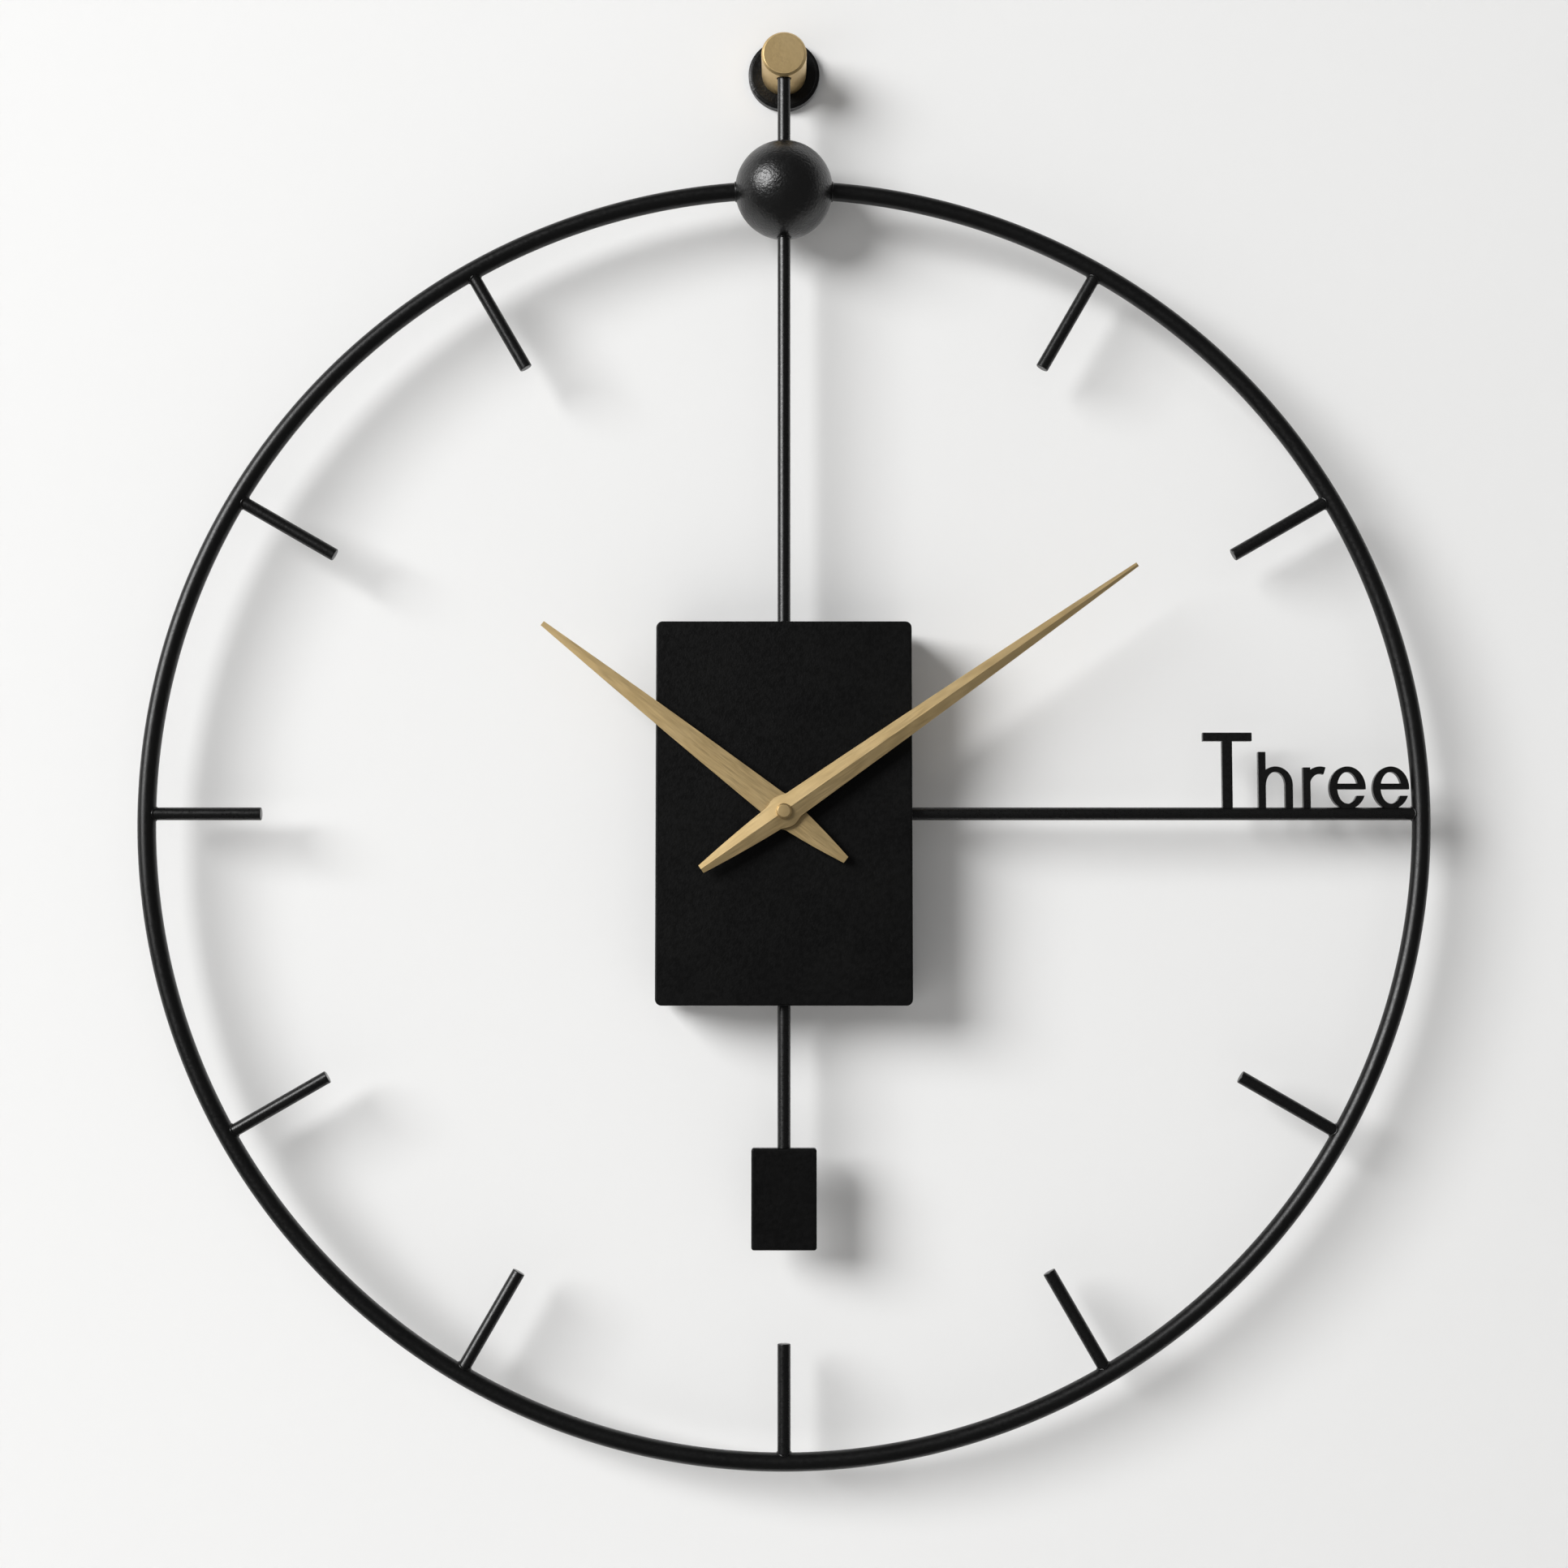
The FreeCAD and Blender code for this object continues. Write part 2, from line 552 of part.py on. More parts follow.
# ---------------------------------------------------------------- electric parts
def make_motor():
    stator_front = STATOR_BACK + 1.2
    left, right, bottom, top = 5.0, 28.4, ROTOR[1] - 6.5, 15.6
    leg, slot_bottom, rotor_hole = 4.5, 2.5, 3.5
    stator = block(left, right, STATOR_BACK, stator_front, bottom, top)
    stator = stator.cut(block(left + leg, right - leg, STATOR_BACK - CLEAR, stator_front + CLEAR,
                              slot_bottom, top + CLEAR))
    stator = stator.cut(disc(rotor_hole, STATOR_BACK - CLEAR, stator_front + CLEAR, *ROTOR))

    coil_depth, coil_z = 26.0, 13.0
    core_half_height, core_thickness = 2.0, 2.4
    winding_radius, cheek_radius, cheek_thickness, cheek_gap = 3.6, 4.0, 0.8, 0.2
    core = block(left, right, stator_front, stator_front + core_thickness,
                 coil_z - core_half_height, coil_z + core_half_height)
    start, end = left + leg + cheek_gap, right - leg - cheek_gap
    winding = crosswise(winding_radius, start + cheek_thickness, end - cheek_thickness, coil_depth, coil_z)
    cheeks = [crosswise(cheek_radius, x, x + cheek_thickness, coil_depth, coil_z)
              for x in (start, end - cheek_thickness)]
    coil = fuse([core, winding] + cheeks)
    save("motor_stator", stator.cut(coil))
    save("motor_coil", coil)


def make_board_and_drive_coil():
    board_front = BOARD_BACK + 1.2
    board_half_width, board_bottom, board_top = 24.0, -81.0, -46.5
    crystal_radius, crystal_x, crystal_bottom, crystal_top = 1.0, 17.0, -60.0, -54.0
    save("circuit_board", block(
        -board_half_width, board_half_width, BOARD_BACK, board_front, board_bottom, board_top))
    save("quartz_crystal", upright(
        crystal_radius, crystal_bottom, crystal_top, x=crystal_x, depth=board_front + crystal_radius))

    coil_radius, coil_bore, coil_front = 9.0, 2.0, 27.0
    winding = disc(coil_radius, board_front, coil_front, z=MAGNET_Z)
    save("drive_coil", winding.cut(disc(coil_bore, board_front, coil_front, z=MAGNET_Z)))


def make_battery_and_contacts():
    half = BATTERY_LENGTH / 2
    nub_radius, nub_length, rim = 2.75, 1.0, 0.6
    shoulder = half - nub_length
    cell = crosswise(BATTERY_RADIUS, -half, shoulder, BATTERY_DEPTH, BATTERY_Z)
    rims = [edge for edge in cell.Edges if edge.BoundBox.XLength < 1e-4]
    cell = cell.makeFillet(rim, rims)
    nub = crosswise(nub_radius, shoulder - nub_length / 2, half, BATTERY_DEPTH, BATTERY_Z)
    save("battery", fuse([cell, nub]))

    gap, sheet, button_radius, button_length = 0.1, 0.5, 3.0, 0.8
    back, front = 26.0, 33.0
    bottom, top = BAY_FLOOR + HOUSING_WALL, BATTERY_Z + 4
    plus_left, minus_right = half + gap, -half - gap - button_length
    plus = block(plus_left, plus_left + sheet, back, front, bottom, top)
    minus = block(minus_right - sheet, minus_right, back, front, bottom, top)
    button = crosswise(button_radius, minus_right, -half - gap, BATTERY_DEPTH, BATTERY_Z)
    save_group("battery_contacts", [plus, fuse([minus, button])])


# ---------------------------------------------------------------- gear train
def wheel_on_arbor(centre, module, teeth, pinion_teeth, pinion_phase, back, pinion_front):
    """Wheel with its pinion in front of it, on a thin shaft."""
    shaft_radius = 0.6
    wheel_front = back + WHEEL_THICKNESS
    return fuse([
        fine_arbor(centre, shaft_radius), gear(teeth, module, 0.0, centre, back, wheel_front),
        gear(pinion_teeth, TRAIN_MODULE, pinion_phase, centre, wheel_front, pinion_front)])


def make_drive_train():
    """Rotor, intermediate, seconds and third wheels; each pinion lies level with the next wheel."""
    rotor_phase = meshed_phase(INTERMEDIATE, INTERMEDIATE_TEETH, 0.0, ROTOR, ROTOR_PINION)
    intermediate_phase = meshed_phase(SECONDS, SECONDS_TEETH, 0.0, INTERMEDIATE, INTERMEDIATE_PINION)
    seconds_phase = meshed_phase(THIRD, THIRD_TEETH, 0.0, SECONDS, SECONDS_PINION)
    third_phase = meshed_phase(CENTRE, CENTRE_TEETH, 0.0, THIRD, THIRD_PINION)

    magnet_radius, magnet_back, magnet_front, pinion_front, shaft_radius = 3.0, 23.0, 25.4, 28.0, 0.5
    save("rotor", fuse([
        fine_arbor(ROTOR, shaft_radius), disc(magnet_radius, magnet_back, magnet_front, *ROTOR),
        gear(ROTOR_PINION, ROTOR_MODULE, rotor_phase, ROTOR, magnet_front, pinion_front)]))

    intermediate_back, seconds_back, third_back, pinion_length = 26.6, 29.0, 31.4, 2.8
    save("intermediate_wheel", wheel_on_arbor(
        INTERMEDIATE, ROTOR_MODULE, INTERMEDIATE_TEETH, INTERMEDIATE_PINION, intermediate_phase,
        intermediate_back, intermediate_back + WHEEL_THICKNESS + pinion_length))
    save("seconds_wheel", wheel_on_arbor(
        SECONDS, TRAIN_MODULE, SECONDS_TEETH, SECONDS_PINION, seconds_phase,
        seconds_back, seconds_back + WHEEL_THICKNESS + pinion_length))
    save("third_wheel", wheel_on_arbor(
        THIRD, TRAIN_MODULE, THIRD_TEETH, THIRD_PINION, third_phase,
        third_back, third_back + WHEEL_THICKNESS + pinion_length))


def make_minute_works():
    foot, shoulder, arbor_front = INNER_BACK - BEARING_DEPTH + 0.1, INNER_BACK + 0.3, 55.0
    arbor = turned([
        (0, foot), (COARSE_PIVOT_RADIUS, foot), (COARSE_PIVOT_RADIUS, shoulder),
        (ARBOR_RADIUS, shoulder), (ARBOR_RADIUS, arbor_front), (0, arbor_front)])
    wheel_back, cannon_back, cannon_front, sleeve_radius = 33.6, 35.9, 37.2, 2.3
    wheel_front = wheel_back + WHEEL_THICKNESS
    wheel = fuse([
        gear(CENTRE_TEETH, TRAIN_MODULE, 0.0, CENTRE, wheel_back, wheel_front),
        disc(sleeve_radius, wheel_front, cannon_back),
        gear(CANNON_TEETH, MOTION_MODULE, 0.0, CENTRE, cannon_back, cannon_front)])
    save("minute_arbor", arbor)
    save("centre_wheel", wheel.cut(arbor))
    return arbor


def make_motion_works():
    """The wheels that drive the hour hand from the minute arbor, and the knob that sets them."""
    motion_phase = meshed_phase(CENTRE, CANNON_TEETH, 0.0, MOTION, MOTION_TEETH)
    hour_phase = meshed_phase(MOTION, MOTION_PINION, 0.0, CENTRE, HOUR_TEETH)
    knob_phase = meshed_phase(MOTION, MOTION_TEETH, motion_phase, KNOB, KNOB_PINION)

    motion_back, pinion_length = 36.2, 1.7
    motion_front = motion_back + WHEEL_THICKNESS
    pinion_front = motion_front + pinion_length
    motion = fuse([gear(MOTION_TEETH, MOTION_MODULE, motion_phase, MOTION, motion_back, motion_front),
                   gear(MOTION_PINION, HOUR_MODULE, 0.0, MOTION, motion_front, pinion_front)])
    stud_hole = disc(MOTION_STUD_RADIUS + RUNNING_GAP, motion_back - CLEAR, pinion_front + CLEAR, *MOTION)
    save("motion_wheel", motion.cut(stud_hole))

    hour_back, pipe_front = 37.6, 51.2
    pipe = disc(PIPE_RADIUS, hour_back, pipe_front)
    hour = fuse([gear(HOUR_TEETH, HOUR_MODULE, hour_phase, CENTRE, hour_back, hour_back + WHEEL_THICKNESS),
                 pipe])
    save("hour_wheel", hour.cut(disc(ARBOR_RADIUS + RUNNING_GAP, hour_back - CLEAR, pipe_front + CLEAR)))

    knob_radius, knob_back, knob_front = 7.0, 13.0, 19.0
    flutes, flute_radius, flute_offset = 16, 0.7, 0.3
    grip = disc(knob_radius, knob_back, knob_front, *KNOB)
    for flute in range(flutes):
        x, z = polar(KNOB, knob_radius + flute_offset, 360 * flute / flutes)
        grip = grip.cut(disc(flute_radius, knob_back - CLEAR, knob_front + CLEAR, x, z))
    stem_foot, shoulder, stem_end = knob_front - 0.5, INNER_FRONT - 0.4, INNER_FRONT + BEARING_DEPTH - 0.1
    stem = turned([
        (0, stem_foot), (COARSE_PIVOT_RADIUS, stem_foot), (COARSE_PIVOT_RADIUS, shoulder),
        (FINE_PIVOT_RADIUS, shoulder), (FINE_PIVOT_RADIUS, stem_end), (0, stem_end)], *KNOB)
    knob_pinion_back, knob_pinion_front = 36.0, 37.4
    knob_pinion = gear(KNOB_PINION, MOTION_MODULE, knob_phase, KNOB, knob_pinion_back, knob_pinion_front)
    save("setting_knob", fuse([grip, stem, knob_pinion]))


# ---------------------------------------------------------------- hands
def creased_hand(length, tail, hub_half, tip_half, tail_half, boss_radius, edge_depth, bore, degrees):
    """Bent sheet with a ridge down its middle, widest at the hub and tapering to both ends."""
    reach = 1.4                   # how far past its edge each facet is drawn before it is trimmed
    facets = []
    for side in (-1, 1):
        for end, end_half in ((length, tip_half), (-tail, tail_half)):
            corners = []
            for place, half in ((0.0, hub_half), (end, end_half)):
                ridge = edge_depth + HAND_CREASE_SLOPE * half
                lip = edge_depth - HAND_CREASE_SLOPE * half * (reach - 1)
                corners.append((at(0, ridge, place), at(side * half * reach, lip, place)))
            (ridge_0, lip_0), (ridge_1, lip_1) = corners
            face = Part.Face(Part.makePolygon([ridge_0, lip_0, lip_1, ridge_1, ridge_0]))
            facets.append(face.extrude(at(0, -HAND_SHEET, 0)))
    sheet = fuse(facets)

    half_stock = 3.0
    back, front = edge_depth - half_stock, edge_depth + half_stock
    tip_centre, tail_centre = length - tip_half, tail_half - tail
    outline = fuse([
        plate([(hub_half, 0), (tip_half, tip_centre), (-tip_half, tip_centre), (-hub_half, 0),
               (-tail_half, tail_centre), (tail_half, tail_centre)], back, front),
        disc(tip_half, back, front, z=tip_centre),
        disc(tail_half, back, front, z=tail_centre),
        disc(boss_radius, back, front)])
    hand = sheet.common(outline).cut(disc(bore, back, front))
    hand.rotate(Vector(0, 0, 0), Vector(0, 1, 0), degrees)
    return hand


def make_hands(arbor):
    minute = creased_hand(
        MINUTE_HAND_LENGTH, MINUTE_HAND_TAIL, hub_half=7.3, tip_half=1.2, tail_half=2.4, boss_radius=8.8,
        edge_depth=53.0, bore=ARBOR_RADIUS, degrees=MINUTE_HAND_ANGLE)
    hour = creased_hand(
        HOUR_HAND_LENGTH, HOUR_HAND_TAIL, hub_half=8.0, tip_half=1.4, tail_half=1.9, boss_radius=9.4,
        edge_depth=49.6, bore=PIPE_RADIUS, degrees=HOUR_HAND_ANGLE)
    cap_radius, cap_back, cap_front, bevel = 4.1, 53.5, 56.4, 0.8
    cap = turned([(0, cap_back), (cap_radius, cap_back), (cap_radius, cap_front - bevel),
                  (cap_radius - bevel, cap_front), (0, cap_front)])
    save("minute_hand", minute)
    save("hour_hand", hour)
    save("cap_nut", cap.cut(minute).cut(arbor))


# ---------------------------------------------------------------- pendulum
def make_pendulum():
    arm_half_width, arm_thickness, arm_bottom = 3.0, 2.0, -93.0
    arm_back, arm_front = RING_DEPTH - arm_thickness / 2, RING_DEPTH + arm_thickness / 2
    boss_radius, boss_half = 4.0, 2.5
    boss_back, boss_front = RING_DEPTH - boss_half, RING_DEPTH + boss_half
    arm = fuse([
        block(-arm_half_width, arm_half_width, arm_back, arm_front, arm_bottom, PENDULUM_PIVOT_Z),
        disc(boss_radius, boss_back, boss_front, z=PENDULUM_PIVOT_Z)])
    arm = arm.cut(disc(SWING_PIN_RADIUS + RUNNING_GAP, boss_back - CLEAR, boss_front + CLEAR,
                       z=PENDULUM_PIVOT_Z))

    pin_radius, pin_half, pin_z = 1.0, ROD_RADIUS + 0.3, -90.0
    rod_top, rod_in_bob = -87.0, 12.0
    magnet_radius, magnet_back = 4.5, 28.5
    cross_pin = disc(pin_radius, RING_DEPTH - pin_half, RING_DEPTH + pin_half, z=pin_z)
    rod = upright(ROD_RADIUS, BOB_TOP - rod_in_bob, rod_top)
    save("swing_arm", arm.cut(cross_pin))
    save("pendulum_pivot_pin", disc(
        SWING_PIN_RADIUS, INNER_BACK - BEARING_DEPTH, INNER_FRONT + BEARING_DEPTH, z=PENDULUM_PIVOT_Z))
    save("pendulum_magnet", disc(magnet_radius, magnet_back, arm_back, z=MAGNET_Z))
    save("rod_cross_pin", cross_pin)
    save("pendulum_rod", rod.cut(arm).cut(cross_pin))

    corner, edge = 1.5, 1.2
    back, front = RING_DEPTH - BOB_THICKNESS / 2, RING_DEPTH + BOB_THICKNESS / 2
    bob = rounded_block(BOB_WIDTH / 2, BOB_TOP - BOB_HEIGHT, BOB_TOP, back, front, corner)
    bob = bob.makeFillet(edge, edges_at_depth(bob, front) + edges_at_depth(bob, back))
    save("pendulum_bob", bob.cut(rod))


rod_blank = make_wall_fixing()
make_ring_and_ball(rod_blank)
make_hour_markers()
make_three_oclock()
make_case()
make_housing()
make_bush_and_nut()
make_motor()
make_board_and_drive_coil()
make_battery_and_contacts()
make_drive_train()
minute_arbor = make_minute_works()
make_motion_works()
make_hands(minute_arbor)
make_pendulum()
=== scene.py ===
import math
import random

import bmesh
import bpy
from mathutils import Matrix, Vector, geometry


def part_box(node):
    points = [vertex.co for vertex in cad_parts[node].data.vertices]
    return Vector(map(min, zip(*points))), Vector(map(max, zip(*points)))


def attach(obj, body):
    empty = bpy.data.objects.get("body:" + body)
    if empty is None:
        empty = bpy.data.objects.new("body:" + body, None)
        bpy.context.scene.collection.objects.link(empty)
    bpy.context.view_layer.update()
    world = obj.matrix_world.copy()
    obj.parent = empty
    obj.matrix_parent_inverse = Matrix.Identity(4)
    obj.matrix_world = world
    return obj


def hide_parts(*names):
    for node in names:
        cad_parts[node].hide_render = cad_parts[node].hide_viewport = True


# Pendulum wall clock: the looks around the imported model. Lengths are in metres, +Z up, the wall
# face is the plane y = 0 and the room is on its -Y side. "Depth" is the distance in front of the
# wall, so at(x, depth, z) is a place measured from the middle of the dial.

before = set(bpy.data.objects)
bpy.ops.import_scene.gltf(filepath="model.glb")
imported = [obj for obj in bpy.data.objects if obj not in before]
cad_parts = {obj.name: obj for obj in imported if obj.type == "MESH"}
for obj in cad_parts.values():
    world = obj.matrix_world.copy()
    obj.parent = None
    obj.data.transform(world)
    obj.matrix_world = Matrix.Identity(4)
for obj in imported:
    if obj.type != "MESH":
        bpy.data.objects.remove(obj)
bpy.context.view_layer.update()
MM = 0.001

# ---------------------------------------------------------------- places read from the frame
ring_low, ring_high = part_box("dial_ring")
RING_OUTER = (ring_high.x - ring_low.x) / 2
TUBE_RADIUS = (ring_high.y - ring_low.y) / 2
RING_RADIUS = RING_OUTER - TUBE_RADIUS
RING_DEPTH = -(ring_low.y + ring_high.y) / 2
DIAL_Z = ring_low.z + RING_OUTER

BALL_RADIUS = (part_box("top_ball")[1].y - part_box("top_ball")[0].y) / 2
ROD_RADIUS = (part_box("suspension_rod")[1].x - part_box("suspension_rod")[0].x) / 2
MARKER_INNER = DIAL_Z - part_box("hour_marker_6")[1].z
MARKER_HOURS = (1, 2, 4, 5, 6, 7, 8, 9, 10, 11)

# ---------------------------------------------------------------- driving values of the looks
CAMERA_DISTANCE = 1.432       # in front of the wall
CAMERA_DROP = 0.0937          # below the middle of the dial
CAMERA_PITCH = math.radians(4.489)
CAMERA_LENS = 59.49           # millimetres, as is the width of the sensor
SENSOR_WIDTH = 36.0

AMBIENT_STRENGTH = 0.13       # what the sky adds to the light
SKY_STRENGTH = 0.72           # how bright the sky itself looks
WALL_SIZE = 5.0
FLOOR_SIZE = 12.0
FLOOR_DROP = 1.8              # below the middle of the dial
RAMP_START, RAMP_END = 0.35, 0.65     # where most of a noise's values lie

SMOOTH_DEGREES = 32.0         # faces that meet at a larger angle than this have a sharp edge
CREASE_DEGREES = 3.0          # the same for a hand, whose fold is shallow
FLAT_DEGREES = 0.5            # faces that differ by less than this are one face
ARC_STEPS = 5
ON_AXIS = 1e-7
SAME_POINT = 1e-6
SLIVER = 0.004 * MM           # points that a boolean leaves closer than this are joined
WELD_RADIUS = 0.65 * MM
EDGE_SOFTENING = 0.22 * MM    # rounding of the pieces that copy a CAD node
MINUTE_HAND = {
    "turn": math.radians(55.0), "length": 232 * MM, "tail": 54 * MM, "hub": 7.3 * MM, "tip": 1.2 * MM,
    "tail_tip": 2.4 * MM, "boss": 8.8 * MM, "edge_depth": 53.1 * MM, "slope": 0.125, "bore": 1.5 * MM}
HOUR_HAND = {
    "turn": math.radians(308.0), "length": 165 * MM, "tail": 42 * MM, "hub": 8.0 * MM, "tip": 1.4 * MM,
    "tail_tip": 2.0 * MM, "boss": 9.4 * MM, "edge_depth": 49.9 * MM, "slope": 0.04, "bore": 2.6 * MM}
HAND_SHEET = 0.8 * MM
HAND_EDGE = 0.28 * MM         # rounding along a hand's outline
HAND_BELLY = 0.5 * MM         # how far a hand's outline bows out half way along

ALONG_X, ALONG_Z, OUT_OF_WALL = Vector((1, 0, 0)), Vector((0, 0, 1)), Vector((0, -1, 0))


def at(x, depth, z):
    return Vector((x, -depth, DIAL_Z + z))


def on_dial(radius, degrees):
    """Place in the plane of the ring, at an angle clockwise from twelve seen from the front."""
    turn = math.radians(degrees)
    return at(radius * math.sin(turn), RING_DEPTH, radius * math.cos(turn))


# ---------------------------------------------------------------- camera and studio
def make_camera():
    camera = bpy.data.objects.new("camera", bpy.data.cameras.new("camera"))
    bpy.context.scene.collection.objects.link(camera)
    camera.data.lens = CAMERA_LENS
    camera.data.sensor_width = SENSOR_WIDTH
    camera.location = at(0, CAMERA_DISTANCE, -CAMERA_DROP)
    camera.rotation_euler = (math.pi / 2 + CAMERA_PITCH, 0, 0)
    bpy.context.scene.camera = camera


def area_light(name, direction, distance, size, power, glossy=True):
    """Soft light that faces the middle of the dial from a direction given by x, depth and z."""
    light = bpy.data.objects.new(name, bpy.data.lights.new(name, "AREA"))
    bpy.context.scene.collection.objects.link(light)
    light.data.shape = "ELLIPSE"
    light.data.size, light.data.size_y = size
    light.data.energy = power
    away = Vector((direction[0], -direction[1], direction[2])).normalized()
    light.location = at(0, 0, 0) + away * distance
    light.rotation_euler = away.to_track_quat("Z", "Y").to_euler()
    light.visible_camera = False
    light.visible_glossy = glossy


def make_studio():
    scene = bpy.context.scene
    scene.view_settings.view_transform = "Standard"
    world = bpy.data.worlds.new("studio")
    scene.world = world
    world.use_nodes = True
    nodes, links = world.node_tree.nodes, world.node_tree.links
    ambient, seen = nodes["Background"], nodes.new("ShaderNodeBackground")
    for sky, strength in ((ambient, AMBIENT_STRENGTH), (seen, SKY_STRENGTH)):
        sky.inputs["Color"].default_value = (1.0, 1.0, 1.0, 1.0)
        sky.inputs["Strength"].default_value = strength
    rays, either = nodes.new("ShaderNodeLightPath"), nodes.new("ShaderNodeMixShader")
    links.new(rays.outputs["Is Camera Ray"], either.inputs[0])
    links.new(ambient.outputs[0], either.inputs[1])
    links.new(seen.outputs[0], either.inputs[2])
    links.new(either.outputs[0], nodes["World Output"].inputs["Surface"])

    area_light("key_light", (-0.684, 0.652, 0.326), distance=8.0, size=(5.2, 4.0), power=730.0)
    area_light("fill_light", (0.2, 1.0, 0.1), distance=4.0, size=(3.0, 3.0), power=8.0, glossy=False)
    area_light("rear_light", (0.25, -1.0, 0.35), distance=2.4, size=(1.8, 1.8), power=26.0)


def backdrop(name, centre, normal, size, colour):
    """Flat pale surface that is only solid from its lit side, so that it never hides the clock."""
    mesh = bpy.data.meshes.new(name)
    side = ALONG_X * size / 2
    up = normal.cross(ALONG_X) * size / 2
    mesh.from_pydata([centre - side - up, centre + side - up, centre + side + up, centre - side + up],
                     [], [(0, 1, 2, 3)])
    surface = bpy.data.objects.new(name, mesh)
    bpy.context.scene.collection.objects.link(surface)
    if mesh.polygons[0].normal.dot(normal) < 0:
        mesh.flip_normals()

    paint = Paint(name, colour, roughness=0.85)
    paint.bump(paint.noise(140.0, detail=6.0), strength=0.12, height=0.0006)
    paint.vary_colour(paint.noise(1.3, detail=2.0), colour, tuple(0.985 * part for part in colour))
    clear = paint.add("ShaderNodeBsdfTransparent")
    facing = paint.add("ShaderNodeNewGeometry")
    blend = paint.add("ShaderNodeMixShader")
    paint.link(facing.outputs["Backfacing"], blend.inputs[0])
    paint.link(paint.shader.outputs[0], blend.inputs[1])
    paint.link(clear.outputs[0], blend.inputs[2])
    paint.link(blend.outputs[0], paint.output.inputs["Surface"])
    mesh.materials.append(paint.material)
    return surface


def make_backdrops():
    wall = backdrop("wall", Vector((0, 0, DIAL_Z)), OUT_OF_WALL, WALL_SIZE, (0.83, 0.83, 0.825))
    wall.visible_shadow = False
    floor = backdrop("floor", Vector((0, 0, DIAL_Z - FLOOR_DROP)), ALONG_Z, FLOOR_SIZE, (0.72, 0.71, 0.70))
    floor.visible_glossy = False


# ---------------------------------------------------------------- materials
class Paint:
    """A material with one principled shader, and helpers that feed it procedural detail."""

    def __init__(self, name, colour, roughness, metallic=0.0):
        self.material = bpy.data.materials.new(name)
        self.material.use_nodes = True
        self.nodes = self.material.node_tree.nodes
        self.shader = self.nodes["Principled BSDF"]
        self.output = self.nodes["Material Output"]
        self.set("Base Color", (*colour, 1.0))
        self.set("Roughness", roughness)
        self.set("Metallic", metallic)
        self.place = self.add("ShaderNodeTexCoord").outputs["Object"]

    def add(self, kind):
        return self.nodes.new(kind)

    def link(self, start, end):
        self.material.node_tree.links.new(start, end)

    def set(self, socket, value):
        self.shader.inputs[socket].default_value = value

    def stretched(self, scale, rotation=(0, 0, 0), centre=(0, 0, 0)):
        """Object coordinates about a centre, turned and then scaled."""
        moved = self.add("ShaderNodeVectorMath")
        moved.operation = "SUBTRACT"
        self.link(self.place, moved.inputs[0])
        moved.inputs[1].default_value = centre
        turned = self.add("ShaderNodeVectorRotate")
        turned.rotation_type = "EULER_XYZ"
        self.link(moved.outputs[0], turned.inputs["Vector"])
        turned.inputs["Rotation"].default_value = rotation
        scaled = self.add("ShaderNodeVectorMath")
        scaled.operation = "MULTIPLY"
        self.link(turned.outputs[0], scaled.inputs[0])
        scaled.inputs[1].default_value = scale
        return scaled.outputs[0]

    def noise(self, scale, detail=3.0, vector=None):
        texture = self.add("ShaderNodeTexNoise")
        self.link(vector or self.place, texture.inputs["Vector"])
        texture.inputs["Scale"].default_value = scale
        texture.inputs["Detail"].default_value = detail
        return texture.outputs["Fac"]

    def cells(self, scale):
        texture = self.add("ShaderNodeTexVoronoi")
        texture.feature = "SMOOTH_F1"
        self.link(self.place, texture.inputs["Vector"])
        texture.inputs["Scale"].default_value = scale
        texture.inputs["Smoothness"].default_value = 0.6
        return texture.outputs["Distance"]

    def waves(self, scale, direction, vector, kind="BANDS"):
        """Even bands across a direction, or rings about it."""
        texture = self.add("ShaderNodeTexWave")
        texture.wave_type = kind
        if kind == "BANDS":
            texture.bands_direction = direction
        else:
            texture.rings_direction = direction
        self.link(vector, texture.inputs["Vector"])
        texture.inputs["Scale"].default_value = scale
        texture.inputs["Distortion"].default_value = 0.15
        return texture.outputs["Fac"]

    def vary_colour(self, source, first, second):
        ramp = self.add("ShaderNodeValToRGB")
        self.link(source, ramp.inputs["Fac"])
        for stop, place, colour in zip(ramp.color_ramp.elements, (RAMP_START, RAMP_END), (first, second)):
            stop.position = place
            stop.color = (*colour, 1.0)
        self.link(ramp.outputs["Color"], self.shader.inputs["Base Color"])

    def vary_roughness(self, source, low, high):
        ramp = self.add("ShaderNodeMapRange")
        self.link(source, ramp.inputs["Value"])
        ramp.inputs["From Min"].default_value = RAMP_START
        ramp.inputs["From Max"].default_value = RAMP_END
        ramp.inputs["To Min"].default_value = low
        ramp.inputs["To Max"].default_value = high
        self.link(ramp.outputs["Result"], self.shader.inputs["Roughness"])

    def bump(self, source, strength, height):
        """Adds relief on top of any relief that is there already."""
        relief = self.add("ShaderNodeBump")
        relief.inputs["Strength"].default_value = strength
        relief.inputs["Distance"].default_value = height
        self.link(source, relief.inputs["Height"])
        normal = self.shader.inputs["Normal"]
        if normal.is_linked:
            self.link(normal.links[0].from_socket, relief.inputs["Normal"])
        self.link(relief.outputs["Normal"], normal)


def powder_coat(name, grain, relief, roughness=(0.36, 0.5), specular=0.16):
    """Satin black coat with an orange-peel grain; grain is the number of bumps in a metre."""
    paint = Paint(name, (0.002, 0.002, 0.002), roughness=0.45)
    paint.set("Specular IOR Level", specular)
    paint.vary_colour(paint.noise(35.0), (0.0016, 0.0016, 0.0016), (0.0026, 0.0026, 0.0025))
    paint.vary_roughness(paint.noise(grain * 0.4), *roughness)
    paint.bump(paint.noise(grain, detail=2.0), relief, height=0.5 / grain)
    return paint.material


